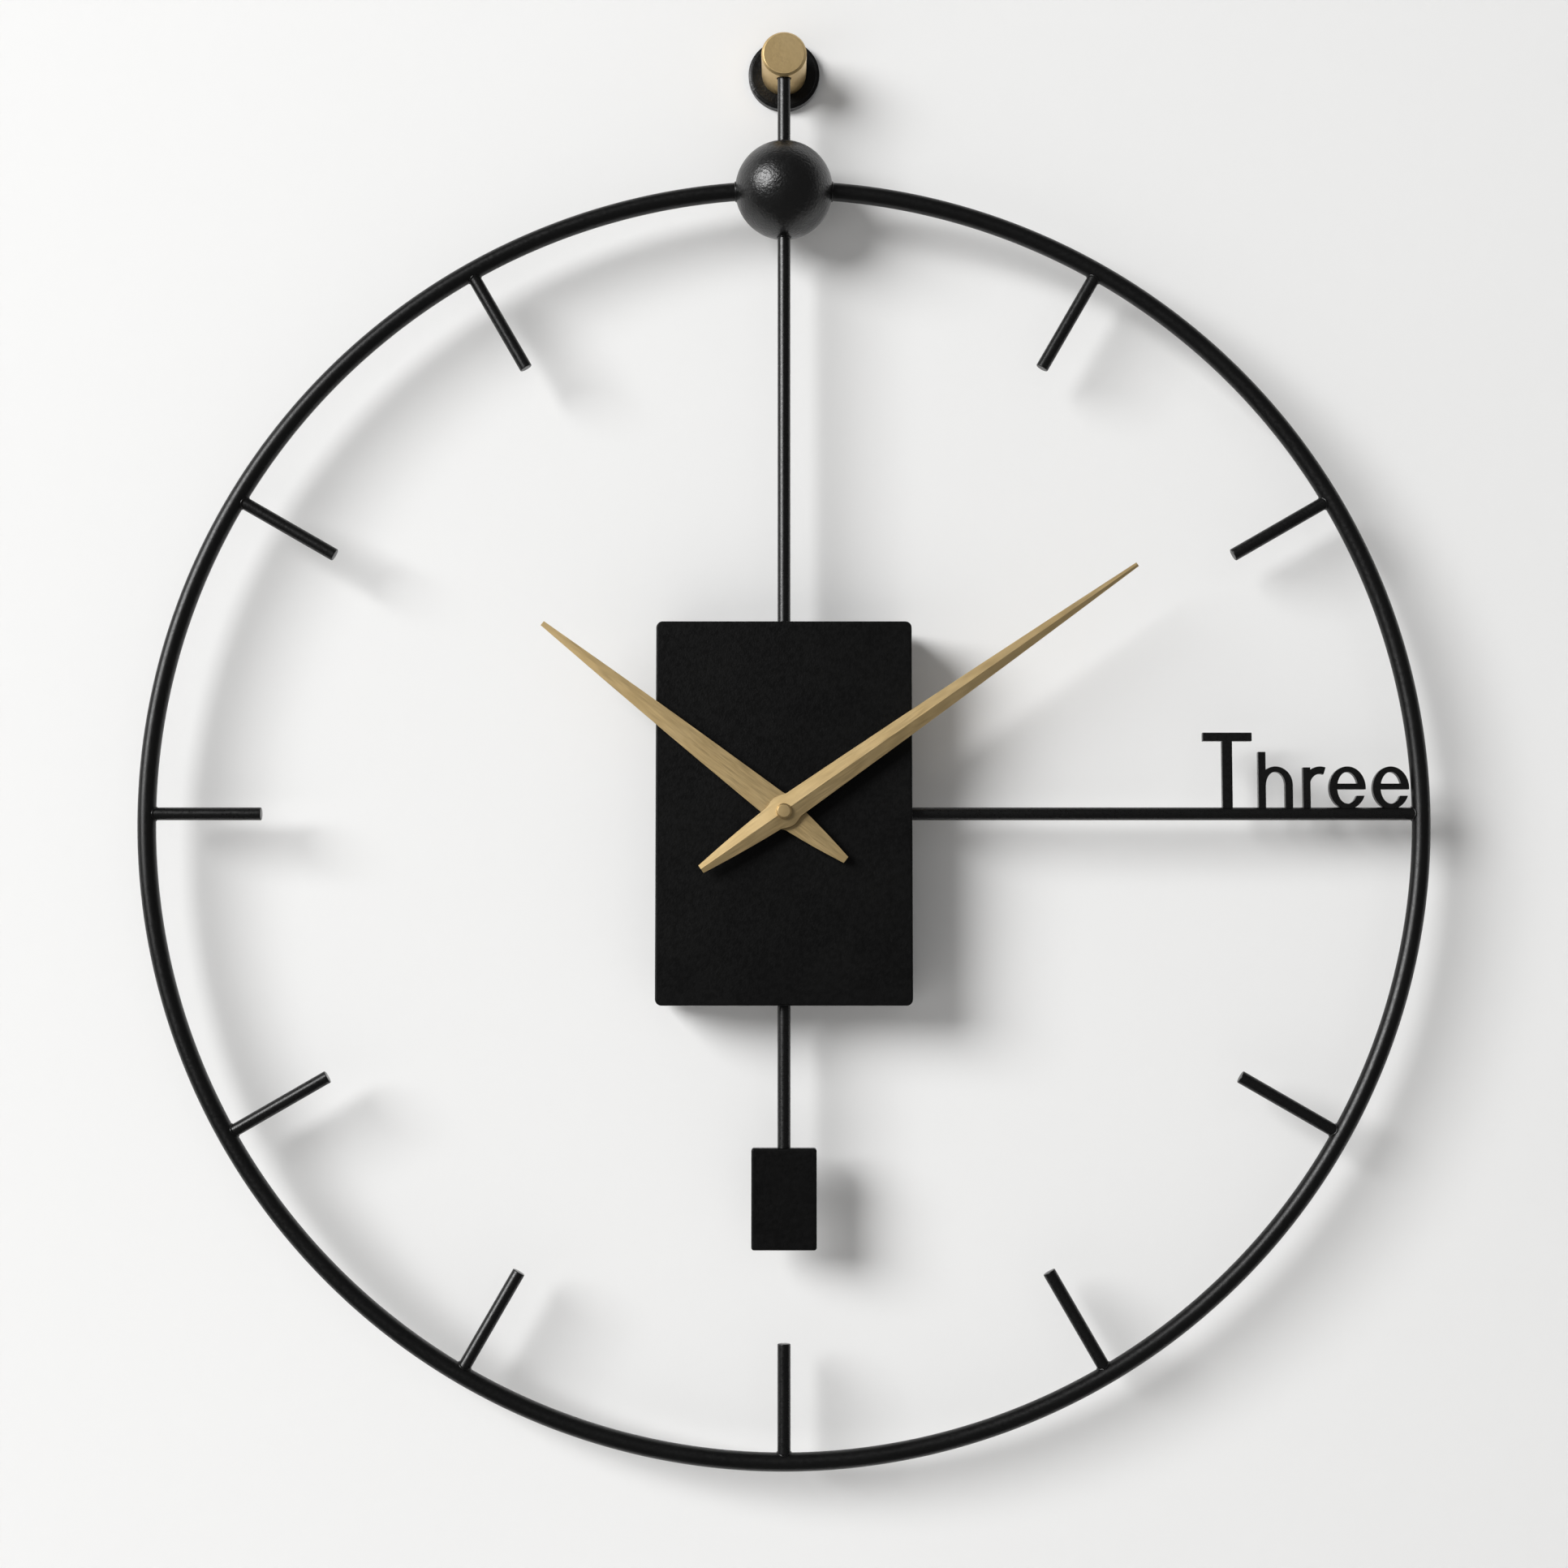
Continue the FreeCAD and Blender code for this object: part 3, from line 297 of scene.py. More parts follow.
def satin_gold(name, angle=None):
    """Champagne gold; with an angle it is brushed along a hand that points that way."""
    paint = Paint(name, (0.70, 0.515, 0.255), 0.42, metallic=1.0)
    paint.vary_colour(paint.noise(60.0), (0.67, 0.49, 0.24), (0.73, 0.545, 0.28))
    if angle is None:
        fine = paint.noise(2200.0, detail=2.0)
    else:
        along_hand = paint.stretched((2600.0, 2600.0, 90.0), rotation=(0, -angle, 0))
        fine = paint.noise(1.0, detail=2.0, vector=along_hand)
    paint.vary_roughness(fine, 0.38, 0.5)
    paint.bump(fine, strength=0.08, height=0.0001)
    return paint.material


def plated_steel(name):
    paint = Paint(name, (0.62, 0.62, 0.63), 0.28, metallic=1.0)
    paint.vary_colour(paint.noise(260.0), (0.55, 0.55, 0.57), (0.68, 0.68, 0.68))
    paint.vary_roughness(paint.noise(700.0), 0.2, 0.38)
    paint.bump(paint.noise(1500.0, detail=2.0), strength=0.1, height=0.0001)
    return paint.material


def turned_brass(name):
    paint = Paint(name, (0.72, 0.5, 0.2), 0.25, metallic=1.0)
    paint.vary_colour(paint.noise(180.0), (0.66, 0.45, 0.18), (0.78, 0.56, 0.24))
    lathe_marks = paint.waves(900.0, "Y", paint.stretched((1, 1, 1), centre=at(0, 0, 0)), "RINGS")
    paint.vary_roughness(lathe_marks, 0.2, 0.34)
    paint.bump(lathe_marks, strength=0.1, height=0.0001)
    return paint.material


def moulded_plastic(name, colour, roughness):
    """Spark-eroded grain; grain is the number of cells in a metre."""
    grain, spread = 1400.0, 0.07
    paint = Paint(name, colour, roughness)
    lighter = tuple(min(1.0, 1.18 * part) for part in colour)
    paint.vary_colour(paint.noise(45.0), colour, lighter)
    paint.vary_roughness(paint.noise(grain * 0.3), roughness - spread, roughness + spread)
    paint.bump(paint.cells(grain), strength=0.18, height=0.5 / grain)
    return paint.material


def soft_rubber(name):
    paint = Paint(name, (0.02, 0.02, 0.02), 0.8)
    paint.vary_colour(paint.noise(90.0), (0.016, 0.016, 0.016), (0.03, 0.03, 0.03))
    paint.bump(paint.noise(2400.0), strength=0.3, height=0.0001)
    return paint.material


def wound_copper(name, axis, centre, kind):
    """Lacquered fine wire: bands across the winding's axis, or rings about it, coloured with painted shade in
    the grooves between turns and a painted highlight on each turn.
    """
    paint = Paint(name, (0.55, 0.2, 0.07), 0.32, metallic=1.0)
    about = paint.stretched((1, 1, 1), centre=centre)
    turns = paint.waves(1600.0, axis, about, kind)
    # painted shade and highlight: the colour runs from dark in the grooves between turns to bright on their
    # crests
    paint.vary_colour(turns, (0.30, 0.10, 0.035), (0.68, 0.27, 0.10))
    paint.bump(turns, strength=0.6, height=0.00012)
    return paint.material


def lacquered_board(name):
    paint = Paint(name, (0.02, 0.11, 0.05), 0.3)
    tracks = paint.waves(260.0, "X", paint.stretched((1, 0, 0.6)))
    paint.vary_colour(tracks, (0.014, 0.085, 0.038), (0.03, 0.16, 0.07))
    paint.bump(tracks, strength=0.25, height=0.00005)
    paint.vary_roughness(paint.noise(300.0), 0.24, 0.4)
    return paint.material


def dull_magnet(name):
    paint = Paint(name, (0.2, 0.2, 0.21), 0.5, metallic=1.0)
    paint.vary_colour(paint.noise(500.0), (0.16, 0.16, 0.17), (0.26, 0.26, 0.27))
    paint.vary_roughness(paint.noise(900.0), 0.42, 0.6)
    paint.bump(paint.noise(1800.0), strength=0.25, height=0.0001)
    return paint.material


def printed_sleeve(name, colour):
    """Thin shrunk film: slight ripples along the cell and a faint print grain."""
    paint = Paint(name, colour, 0.3)
    paint.set("Coat Weight", 0.5)
    paint.set("Coat Roughness", 0.12)
    ripples = paint.noise(1.0, detail=2.0, vector=paint.stretched((40.0, 700.0, 700.0)))
    paint.vary_colour(paint.noise(420.0), colour, tuple(min(1.0, 1.25 * part) for part in colour))
    paint.bump(ripples, strength=0.15, height=0.0003)
    return paint.material


# ---------------------------------------------------------------- mesh makers
def shade(piece, smooth_degrees):
    """Smooth where the surface turns gently, sharp where it doesn't."""
    piece.data.shade_smooth()
    piece.data.set_sharp_from_angle(angle=math.radians(smooth_degrees))
    piece.modifiers.new("even_normals", "WEIGHTED_NORMAL").keep_sharp = True


def finished(name, bm, smooth_degrees=SMOOTH_DEGREES):
    """Mesh object with outward faces."""
    bmesh.ops.recalc_face_normals(bm, faces=bm.faces)
    mesh = bpy.data.meshes.new(name)
    bm.to_mesh(mesh)
    bm.free()
    piece = bpy.data.objects.new(name, mesh)
    bpy.context.scene.collection.objects.link(piece)
    shade(piece, smooth_degrees)
    return piece


def cross_axes(axis):
    """Two unit vectors square to an axis."""
    start = ALONG_X if abs(axis.x) < 0.9 else ALONG_Z
    first = axis.cross(start).normalized()
    return first, axis.cross(first).normalized()


def circle(centre, radius, first, second, sides, start=0.0):
    """Places evenly spaced round a centre, in the plane of two unit vectors."""
    angles = [start + k * math.tau / sides for k in range(sides)]
    return [centre + radius * (first * math.cos(angle) + second * math.sin(angle)) for angle in angles]


def cross_outline(arm, half_width):
    """The twelve corners of a plus sign about the origin."""
    outline = []
    for turn in range(4):
        for u, v in ((arm, half_width), (half_width, half_width), (half_width, arm)):
            for _ in range(turn):
                u, v = -v, u
            outline.append((u, v))
    return outline


def softened(corners, closed=False):
    """Outline of (u, v) or (u, v, radius) corners, with an arc for each corner that has a radius."""
    points = []
    for index, corner in enumerate(corners):
        here = Vector(corner[:2])
        is_end = not closed and index in (0, len(corners) - 1)
        if len(corner) == 2 or is_end:
            points.append(here)
            continue
        to_before = (Vector(corners[index - 1][:2]) - here).normalized()
        to_after = (Vector(corners[(index + 1) % len(corners)][:2]) - here).normalized()
        half = to_before.angle(to_after) / 2
        centre = here + (to_before + to_after).normalized() * corner[2] / math.sin(half)
        tangent = corner[2] / math.tan(half)
        first = (here + to_before * tangent - centre).normalized()
        last = (here + to_after * tangent - centre).normalized()
        for step in range(ARC_STEPS + 1):
            points.append(centre + first.slerp(last, step / ARC_STEPS) * corner[2])
    return points


def bridge(bm, first, second):
    """Faces between two closed loops of vertices; a loop may be one vertex."""
    count = max(len(first), len(second))
    for k in range(count):
        ring = [first[k % len(first)], first[(k + 1) % len(first)],
                second[(k + 1) % len(second)], second[k % len(second)]]
        corners = list(dict.fromkeys(ring))
        if len(corners) > 2:
            bm.faces.new(corners)


def vertices(bm, places):
    return [bm.verts.new(place) for place in places]


def skin(bm, loops, capped=False):
    """Faces from each loop to the next, and over both ends if it is capped."""
    for before, after in zip(loops, loops[1:]):
        bridge(bm, before, after)
    if capped:
        bm.faces.new(loops[0])
        bm.faces.new(loops[-1])


def lathe(name, profile, foot, axis, closed=False, turns=72, start=0.0):
    """Turned piece; the profile is (radius, along) and runs from axis to axis, or is a closed loop."""
    first, second = cross_axes(axis)
    bm = bmesh.new()
    loops = []
    for radius, along in profile:
        middle = foot + axis * along
        places = [middle] if radius < ON_AXIS else circle(middle, radius, first, second, turns, start)
        loops.append(vertices(bm, places))
    skin(bm, loops + loops[:1] if closed else loops)
    return finished(name, bm)


def rod(name, start, end, radius, edge=0.35 * MM):
    """Round bar with slightly rounded ends."""
    length = (end - start).length
    profile = softened([(0, 0), (radius, 0, edge), (radius, length, edge), (0, length)])
    return lathe(name, profile, start, (end - start).normalized())


def prism(name, foot, axis, length, radius, start=0.0):
    """Six-sided bar."""
    return lathe(name, [(0, 0), (radius, 0), (radius, length), (0, length)], foot, axis, turns=6, start=start)


def cross_screw(name, under_head, axis, head_radius, head_height, shank_radius, shank_length):
    """Pan-head screw with a cross recess; its head stands along the axis."""
    tip, side_height, crown_radius = 0.6 * shank_radius, 0.45 * head_height, 0.55 * head_radius
    screw = lathe(name, softened([
        (0, -shank_length), (shank_radius - tip, -shank_length), (shank_radius, tip - shank_length),
        (shank_radius, 0), (head_radius, 0, 0.1 * MM), (head_radius, side_height, 0.3 * MM),
        (crown_radius, head_height, 0.3 * MM), (0, head_height)]), under_head, axis, turns=48)
    first, second = cross_axes(axis)
    arm, half_slot = 0.62 * head_radius, 0.13 * head_radius
    mouth, floor = (head_height + 0.5 * MM, 1.25), (-0.3 * head_height, 0.55)    # (along, size)
    bm = bmesh.new()
    loops = [vertices(bm, [under_head + axis * along + size * (first * u + second * v)
                           for u, v in cross_outline(arm, half_slot)]) for along, size in (mouth, floor)]
    skin(bm, loops, capped=True)
    return cut_by(screw, finished("recess", bm))


def threaded(name, foot, axis, length, crest, root, pitch, taper):
    """Screw shank whose thread fades out towards a tapered tip."""
    sides, steps_per_turn = 40, 10
    tip_share, crest_width = 0.25, 1.25
    first, second = cross_axes(axis)
    bm = bmesh.new()
    steps = int(length / pitch * steps_per_turn)
    loops = []
    for step in range(steps + 1):
        along = length * step / steps
        shrink = min(1.0, tip_share + (1 - tip_share) * (length - along) / taper)
        loop = []
        for side in range(sides):
            angle = side * math.tau / sides
            phase = (along / pitch - side / sides) % 1.0
            flank = 1 - abs(2 * phase - 1)
            radius = shrink * (root + (crest - root) * min(1.0, crest_width * flank))
            loop.append(bm.verts.new(
                foot + axis * along + radius * (first * math.cos(angle) + second * math.sin(angle))))
        loops.append(loop)
    skin(bm, loops)
    bridge(bm, [bm.verts.new(foot)], loops[0])
    bridge(bm, loops[-1], [bm.verts.new(foot + axis * length)])
    return finished(name, bm, 50.0)


def bead(bm, path, radius, closed=True, seed=0, unevenness=0.12):
    """Loops of a round bead along a path, a little uneven as a weld is."""
    uneven = random.Random(seed)
    sides, count = 10, len(path)
    loops = []
    for index, point in enumerate(path):
        before = path[index - 1] if closed or index else point
        after = path[(index + 1) % count] if closed or index < count - 1 else point
        first, second = cross_axes((after - before).normalized())
        size = radius * (1 + uneven.uniform(-unevenness, unevenness))
        loops.append(vertices(bm, circle(point, size, first, second, sides)))
    return loops


def slab(name, outline, back, front, edge, holes=(), steps=4):
    """Flat piece with an (x, z) outline about the dial, rounded along its front and back edges."""
    bm = bmesh.new()
    quarter = [step / steps * math.pi / 2 for step in range(steps + 1)]
    rounds = [(edge * (1 - math.sin(turn)), edge * (1 - math.cos(turn))) for turn in quarter]
    layers = [(distance, back + along) for distance, along in rounds]
    layers += [(distance, front - along) for distance, along in reversed(rounds)]
    ends = ([], [])
    for number, loop in enumerate([outline, *holes]):
        points = [Vector(point) for point in loop]
        area = sum(a.x * b.y - b.x * a.y for a, b in zip(points, points[1:] + points[:1]))
        if (area > 0) == (number > 0):
            points.reverse()
        rings = [vertices(bm, [at(p.x, depth, p.y) for p in inset(points, distance)])
                 for distance, depth in layers]
        skin(bm, rings)
        ends[0].append(rings[0])
        ends[1].append(rings[-1])
    for rings in ends:
        loose = [vertex for ring in rings for vertex in ring]
        for triangle in geometry.tessellate_polygon([[vertex.co for vertex in ring] for ring in rings]):
            bm.faces.new([loose[k] for k in triangle])
    return finished(name, bm)


def inset(points, distance):
    """Outline moved to its left by a distance, with mitred corners."""
    sharpest = 0.3
    moved = []
    for before, here, after in zip(points[-1:] + points[:-1], points, points[1:] + points[:1]):
        into, out = (here - before).normalized(), (after - here).normalized()
        left = Vector((-into.y - out.y, into.x + out.x)).normalized()
        moved.append(here + left * distance / max(sharpest, left.dot(Vector((-into.y, into.x)))))
    return moved


def rectangle(left, right, bottom, top, corner):
    return softened([(left, bottom, corner), (right, bottom, corner),
                     (right, top, corner), (left, top, corner)], closed=True)


def merged(name, pieces):
    """One piece made of several, which are removed."""
    bm = bmesh.new()
    for piece in pieces:
        bm.from_mesh(piece.data)
        bpy.data.objects.remove(piece)
    return finished(name, bm)


def round_edges(piece, edge):
    piece.modifiers.clear()
    rounding = piece.modifiers.new("rounding", "BEVEL")
    rounding.width = edge
    rounding.segments = 3
    rounding.limit_method = "ANGLE"
    rounding.angle_limit = math.radians(40.0)
    rounding.harden_normals = True
    return piece


def without_slivers(mesh):
    """Joins points that all but coincide, and takes out the faces that this leaves without area."""
    bm = bmesh.new()
    bm.from_mesh(mesh)
    bmesh.ops.remove_doubles(bm, verts=bm.verts, dist=SLIVER)
    bmesh.ops.dissolve_degenerate(bm, edges=bm.edges, dist=SLIVER)
    bm.to_mesh(mesh)
    bm.free()


def cut_by(piece, tool, operation="DIFFERENCE", smooth_degrees=SMOOTH_DEGREES):
    """Applies a boolean with the tool, which is then removed."""
    piece.modifiers.clear()
    carve = piece.modifiers.new("carve", "BOOLEAN")
    carve.operation = operation
    carve.solver = "EXACT"
    carve.object = tool
    bpy.context.view_layer.update()
    shape = bpy.data.meshes.new_from_object(piece.evaluated_get(bpy.context.evaluated_depsgraph_get()))
    piece.modifiers.clear()
    without_slivers(shape)
    piece.data = shape
    shade(piece, smooth_degrees)
    bpy.data.objects.remove(tool)
    return piece


def soft_copy(name, node, edge):
    """A new piece with a CAD node's shape and small rounds along its sharp edges."""
    bm = bmesh.new()
    bm.from_mesh(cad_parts[node].data)
    bmesh.ops.remove_doubles(bm, verts=bm.verts, dist=SAME_POINT)
    bmesh.ops.dissolve_limit(bm, angle_limit=math.radians(FLAT_DEGREES), verts=bm.verts, edges=bm.edges)
    return round_edges(finished(name, bm), edge)


def place(piece, body, slot, material, *nodes):
    """Gives a piece its finish and its body, and hides the CAD nodes that it stands for."""
    piece.data.materials.clear()
    piece.data.materials.append(material)
    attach(piece, body)
    if nodes:
        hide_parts(*nodes)


# ---------------------------------------------------------------- wall fixing
def make_wall_fixing(look):
    bolt_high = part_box("hanger_bolt")[1]
    rosette_low, rosette_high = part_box("wall_rosette")
    peg_low, peg_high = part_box("brass_peg")
    centre = Vector((0, 0, 0))

    shank = threaded("hanger_bolt_threaded", centre - OUT_OF_WALL * rosette_high.y, -OUT_OF_WALL,
                     length=bolt_high.y - 0.1 * MM, crest=0.98 * bolt_high.z, root=2.2 * MM,
                     pitch=2.4 * MM, taper=7 * MM)
    place(shank, "clock_frame", "bright_steel", look["steel"], "hanger_bolt")

    radius, thickness = rosette_high.x, -rosette_low.y
    rim, step, bore = 1.3 * MM, 0.35 * MM, 3.2 * MM
    profile = softened([
        (bore, 0), (radius, 0, 0.2 * MM), (radius, thickness - rim / 2 - step, 0.25 * MM),
        (radius - rim, thickness - step, 0.15 * MM), (radius - rim - step, thickness - step, 0.12 * MM),
        (radius - rim - 2 * step, thickness, 0.15 * MM), (bore, thickness)])
    rosette = lathe("rosette", profile, centre, OUT_OF_WALL, closed=True, turns=128)
    place(rosette, "clock_frame", "black_powder_coat", look["coarse_coat"], "wall_rosette")

    radius, front, bevel = peg_high.x, -peg_low.y, 1.2 * MM
    profile = softened([(0, thickness), (radius, thickness), (radius, front - bevel, 0.35 * MM),
                        (radius - bevel, front, 0.35 * MM), (0, front)])
    peg = lathe("gold_peg", profile, centre, OUT_OF_WALL, turns=128)
    hole_radius = ROD_RADIUS + 0.55 * MM
    hole = rod("rod_hole", at(0, RING_DEPTH, RING_RADIUS + BALL_RADIUS),
               Vector((0, -RING_DEPTH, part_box("suspension_rod")[1].z)), hole_radius)
    peg = cut_by(peg, hole)
    low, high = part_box("peg_grub_screws")
    screw_radius, clearance, over_peg = high.x, 0.1 * MM, 1 * MM
    hole_millimetres = 9
    socket_depth, socket_length, socket_radius = 1.8 * MM, 2.4 * MM, 1.15 * MM
    grub_screws = []
    for depth, foot_z in ((-high.y + screw_radius, bolt_high.z), (RING_DEPTH, low.z)):
        top = Vector((0, -depth, peg_high.z + over_peg))
        hole = rod("screw_hole", top - ALONG_Z * hole_millimetres * MM, top, screw_radius + clearance)
        peg = cut_by(peg, hole)
        foot, face = Vector((0, -depth, foot_z)), Vector((0, -depth, high.z))
        grub = rod("grub", foot, face, screw_radius)
        socket = prism("socket", face - ALONG_Z * socket_depth, ALONG_Z, socket_length, socket_radius)
        grub_screws.append(cut_by(grub, socket))
    place(peg, "clock_frame", "champagne_brass", look["gold"], "brass_peg")
    place(merged("grub_screws", grub_screws), "clock_frame", "bright_steel", look["steel"], "peg_grub_screws")


# ---------------------------------------------------------------- ring, ball, rods and letters
def make_ring(look):
    """Bent tube whose two ends stop inside the ball."""
    sides, steps, end_from_middle = 40, 480, 8 * MM
    half_gap = math.asin(end_from_middle / RING_RADIUS)
    bm = bmesh.new()
    loops = []
    for step in range(steps + 1):
        turn = half_gap + (math.tau - 2 * half_gap) * step / steps
        outward = Vector((math.sin(turn), 0, math.cos(turn)))
        centre = at(0, RING_DEPTH, 0) + outward * RING_RADIUS
        loops.append(vertices(bm, circle(centre, TUBE_RADIUS, outward, OUT_OF_WALL, sides)))
    skin(bm, loops, capped=True)
    place(finished("ring_tube", bm), "clock_frame", "black_powder_coat", look["ring_coat"], "dial_ring")


def make_ball(look):
    rings = 72
    centre = at(0, RING_DEPTH, RING_RADIUS)
    profile = [(BALL_RADIUS * math.sin(math.pi * k / rings), -BALL_RADIUS * math.cos(math.pi * k / rings))
               for k in range(rings + 1)]
    profile[0], profile[-1] = (0, -BALL_RADIUS), (0, BALL_RADIUS)
    ball = lathe("ball", profile, centre, ALONG_Z, turns=144)
    place(ball, "clock_frame", "black_powder_coat", look["ball_coat"], "top_ball")


def upright_rod(name, node):
    """Rod as high as a CAD node, in the plane of the ring."""
    low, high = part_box(node)
    return rod(name, Vector((0, -RING_DEPTH, low.z)), Vector((0, -RING_DEPTH, high.z)), ROD_RADIUS)


def make_rods(look):
    hanger = upright_rod("hanging_rod", "suspension_rod")
    place(hanger, "clock_frame", "black_powder_coat", look["rod_coat"], "suspension_rod")

    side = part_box("front_case")[1].x
    bar = rod("three_bar", at(side, RING_DEPTH, 0), at(RING_RADIUS, RING_DEPTH, 0), ROD_RADIUS)
    place(bar, "clock_frame", "black_powder_coat", look["rod_coat"], "three_oclock_bar")

    for hour in MARKER_HOURS:
        marker = rod(f"marker_{hour}", on_dial(MARKER_INNER, 30 * hour), on_dial(RING_RADIUS, 30 * hour),
                     ROD_RADIUS, edge=0.5 * MM)
        place(marker, "clock_frame", "black_powder_coat", look["rod_coat"], f"hour_marker_{hour}")


def ring_weld_path(degrees):
    """Closed curve where a rod that points at the ring's middle meets the tube."""
    points = 28
    turn = math.radians(degrees)
    outward = Vector((math.sin(turn), 0, math.cos(turn)))
    sideways = outward.cross(OUT_OF_WALL)
    path = []
    for k in range(points):
        across = ROD_RADIUS * math.cos(k * math.tau / points)
        forward = ROD_RADIUS * math.sin(k * math.tau / points)
        inward = math.sqrt(TUBE_RADIUS ** 2 - forward ** 2)
        path.append(at(0, RING_DEPTH, 0) + outward * (RING_RADIUS - inward)
                    + sideways * across + OUT_OF_WALL * forward)
    return path


def ball_weld_path(direction, radius):
    """Circle where a rod or tube leaves the ball."""
    points = 36
    first, second = cross_axes(direction)
    centre = at(0, RING_DEPTH, RING_RADIUS) + direction * math.sqrt(BALL_RADIUS ** 2 - radius ** 2)
    return circle(centre, radius, first, second, points)


def make_welds(look):
    """Small painted beads where the rods meet the ring, the ball and each other."""
    bm = bmesh.new()
    tilt = math.asin(BALL_RADIUS / 2 / RING_RADIUS)
    paths = [ring_weld_path(30 * hour) for hour in (*MARKER_HOURS, 3)]
    paths += [ball_weld_path(direction, ROD_RADIUS) for direction in (ALONG_Z, -ALONG_Z)]
    paths += [ball_weld_path(Vector((side * math.cos(tilt), 0, -math.sin(tilt))), TUBE_RADIUS)
              for side in (-1, 1)]
    for seed, path in enumerate(paths):
        loops = bead(bm, path, WELD_RADIUS, seed=seed)
        skin(bm, loops + loops[:1])
    place(finished("weld_beads", bm, 60.0), "clock_frame", "black_powder_coat", look["rod_coat"])


def make_letters(look):
    for name in ("letter_t", "letter_h", "letter_r", "letter_e_1", "letter_e_2"):
        letter = soft_copy(name.replace("letter", "cut_letter"), name, EDGE_SOFTENING)
        place(letter, "clock_frame", "black_powder_coat", look["rod_coat"], name)


# ---------------------------------------------------------------- hands
def straight_half(hand, along):
    """Half the width of a hand without its boss; along is the distance from the hub towards the tip."""
    reach, end = (hand["length"], hand["tip"]) if along >= 0 else (hand["tail"], hand["tail_tip"])
    share = min(1.0, abs(along) / reach)
    return hand["hub"] + (end - hand["hub"]) * share + HAND_BELLY * math.sin(math.pi * share)


def outline_half(hand, along):
    """Half width with the round boss blended in by a small fillet."""
    straight = straight_half(hand, along)
    boss = math.sqrt(max(0.0, hand["boss"] ** 2 - along ** 2))
    blend = 14
    return (straight ** blend + boss ** blend) ** (1 / blend)


def hand_places(hand):
    """Distances along a hand, close together round the boss."""
    near, fine, coarse = 11 * MM, 44, 22
    tail = [-hand["tail"] + (hand["tail"] - near) * k / coarse for k in range(coarse)]
    middle = [-near + 2 * near * k / fine for k in range(fine)]
    front = [near + (hand["length"] - near) * k / coarse for k in range(coarse + 1)]
    return tail + middle + front


def make_hand(name, node, body, look, hand):
    """Sheet folded along its middle, with square ends and softened edges."""
    along_hand = Vector((math.sin(hand["turn"]), 0, math.cos(hand["turn"])))
    across_hand = Vector((math.cos(hand["turn"]), 0, -math.sin(hand["turn"])))
    bm = bmesh.new()
    loops = []
    for along in hand_places(hand):
        crest, half = straight_half(hand, along), outline_half(hand, along)
        across = [half * share for share in (-1, -0.5, 0, 0.5, 1)]
        front = [(x, hand["edge_depth"] + hand["slope"] * (crest - abs(x))) for x in across]
        back = [(x, depth - HAND_SHEET) for x, depth in reversed(front)]
        loops.append(vertices(bm, [at(0, depth, 0) + along_hand * along + across_hand * x
                                   for x, depth in front + back]))
    skin(bm, loops, capped=True)
    piece = finished(name, bm, CREASE_DEGREES)
    clear = 3 * MM
    hole = rod("hub_hole", at(0, hand["edge_depth"] - clear, 0), at(0, hand["edge_depth"] + clear, 0),
               hand["bore"])
    piece = round_edges(cut_by(piece, hole, smooth_degrees=CREASE_DEGREES), HAND_EDGE)
    place(piece, body, "champagne_brass", look, node)


def make_hands(look):
    make_hand("gold_minute_hand", "minute_hand", "minute_works", look["minute_gold"], MINUTE_HAND)
    make_hand("gold_hour_hand", "hour_hand", "hour_works", look["hour_gold"], HOUR_HAND)

    low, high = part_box("cap_nut")
    radius, bevel, back, front = high.x, 0.8 * MM, -high.y, -low.y
    profile = softened([(0, back), (radius - 0.1 * MM, back), (radius, back + 0.2 * MM),
                        (radius, front - bevel, 0.3 * MM), (radius - bevel, front, 0.15 * MM), (0, front)])
    cap = lathe("gold_cap", profile, at(0, 0, 0), OUT_OF_WALL, turns=96)
    place(cap, "minute_works", "champagne_brass", look["gold"], "cap_nut")


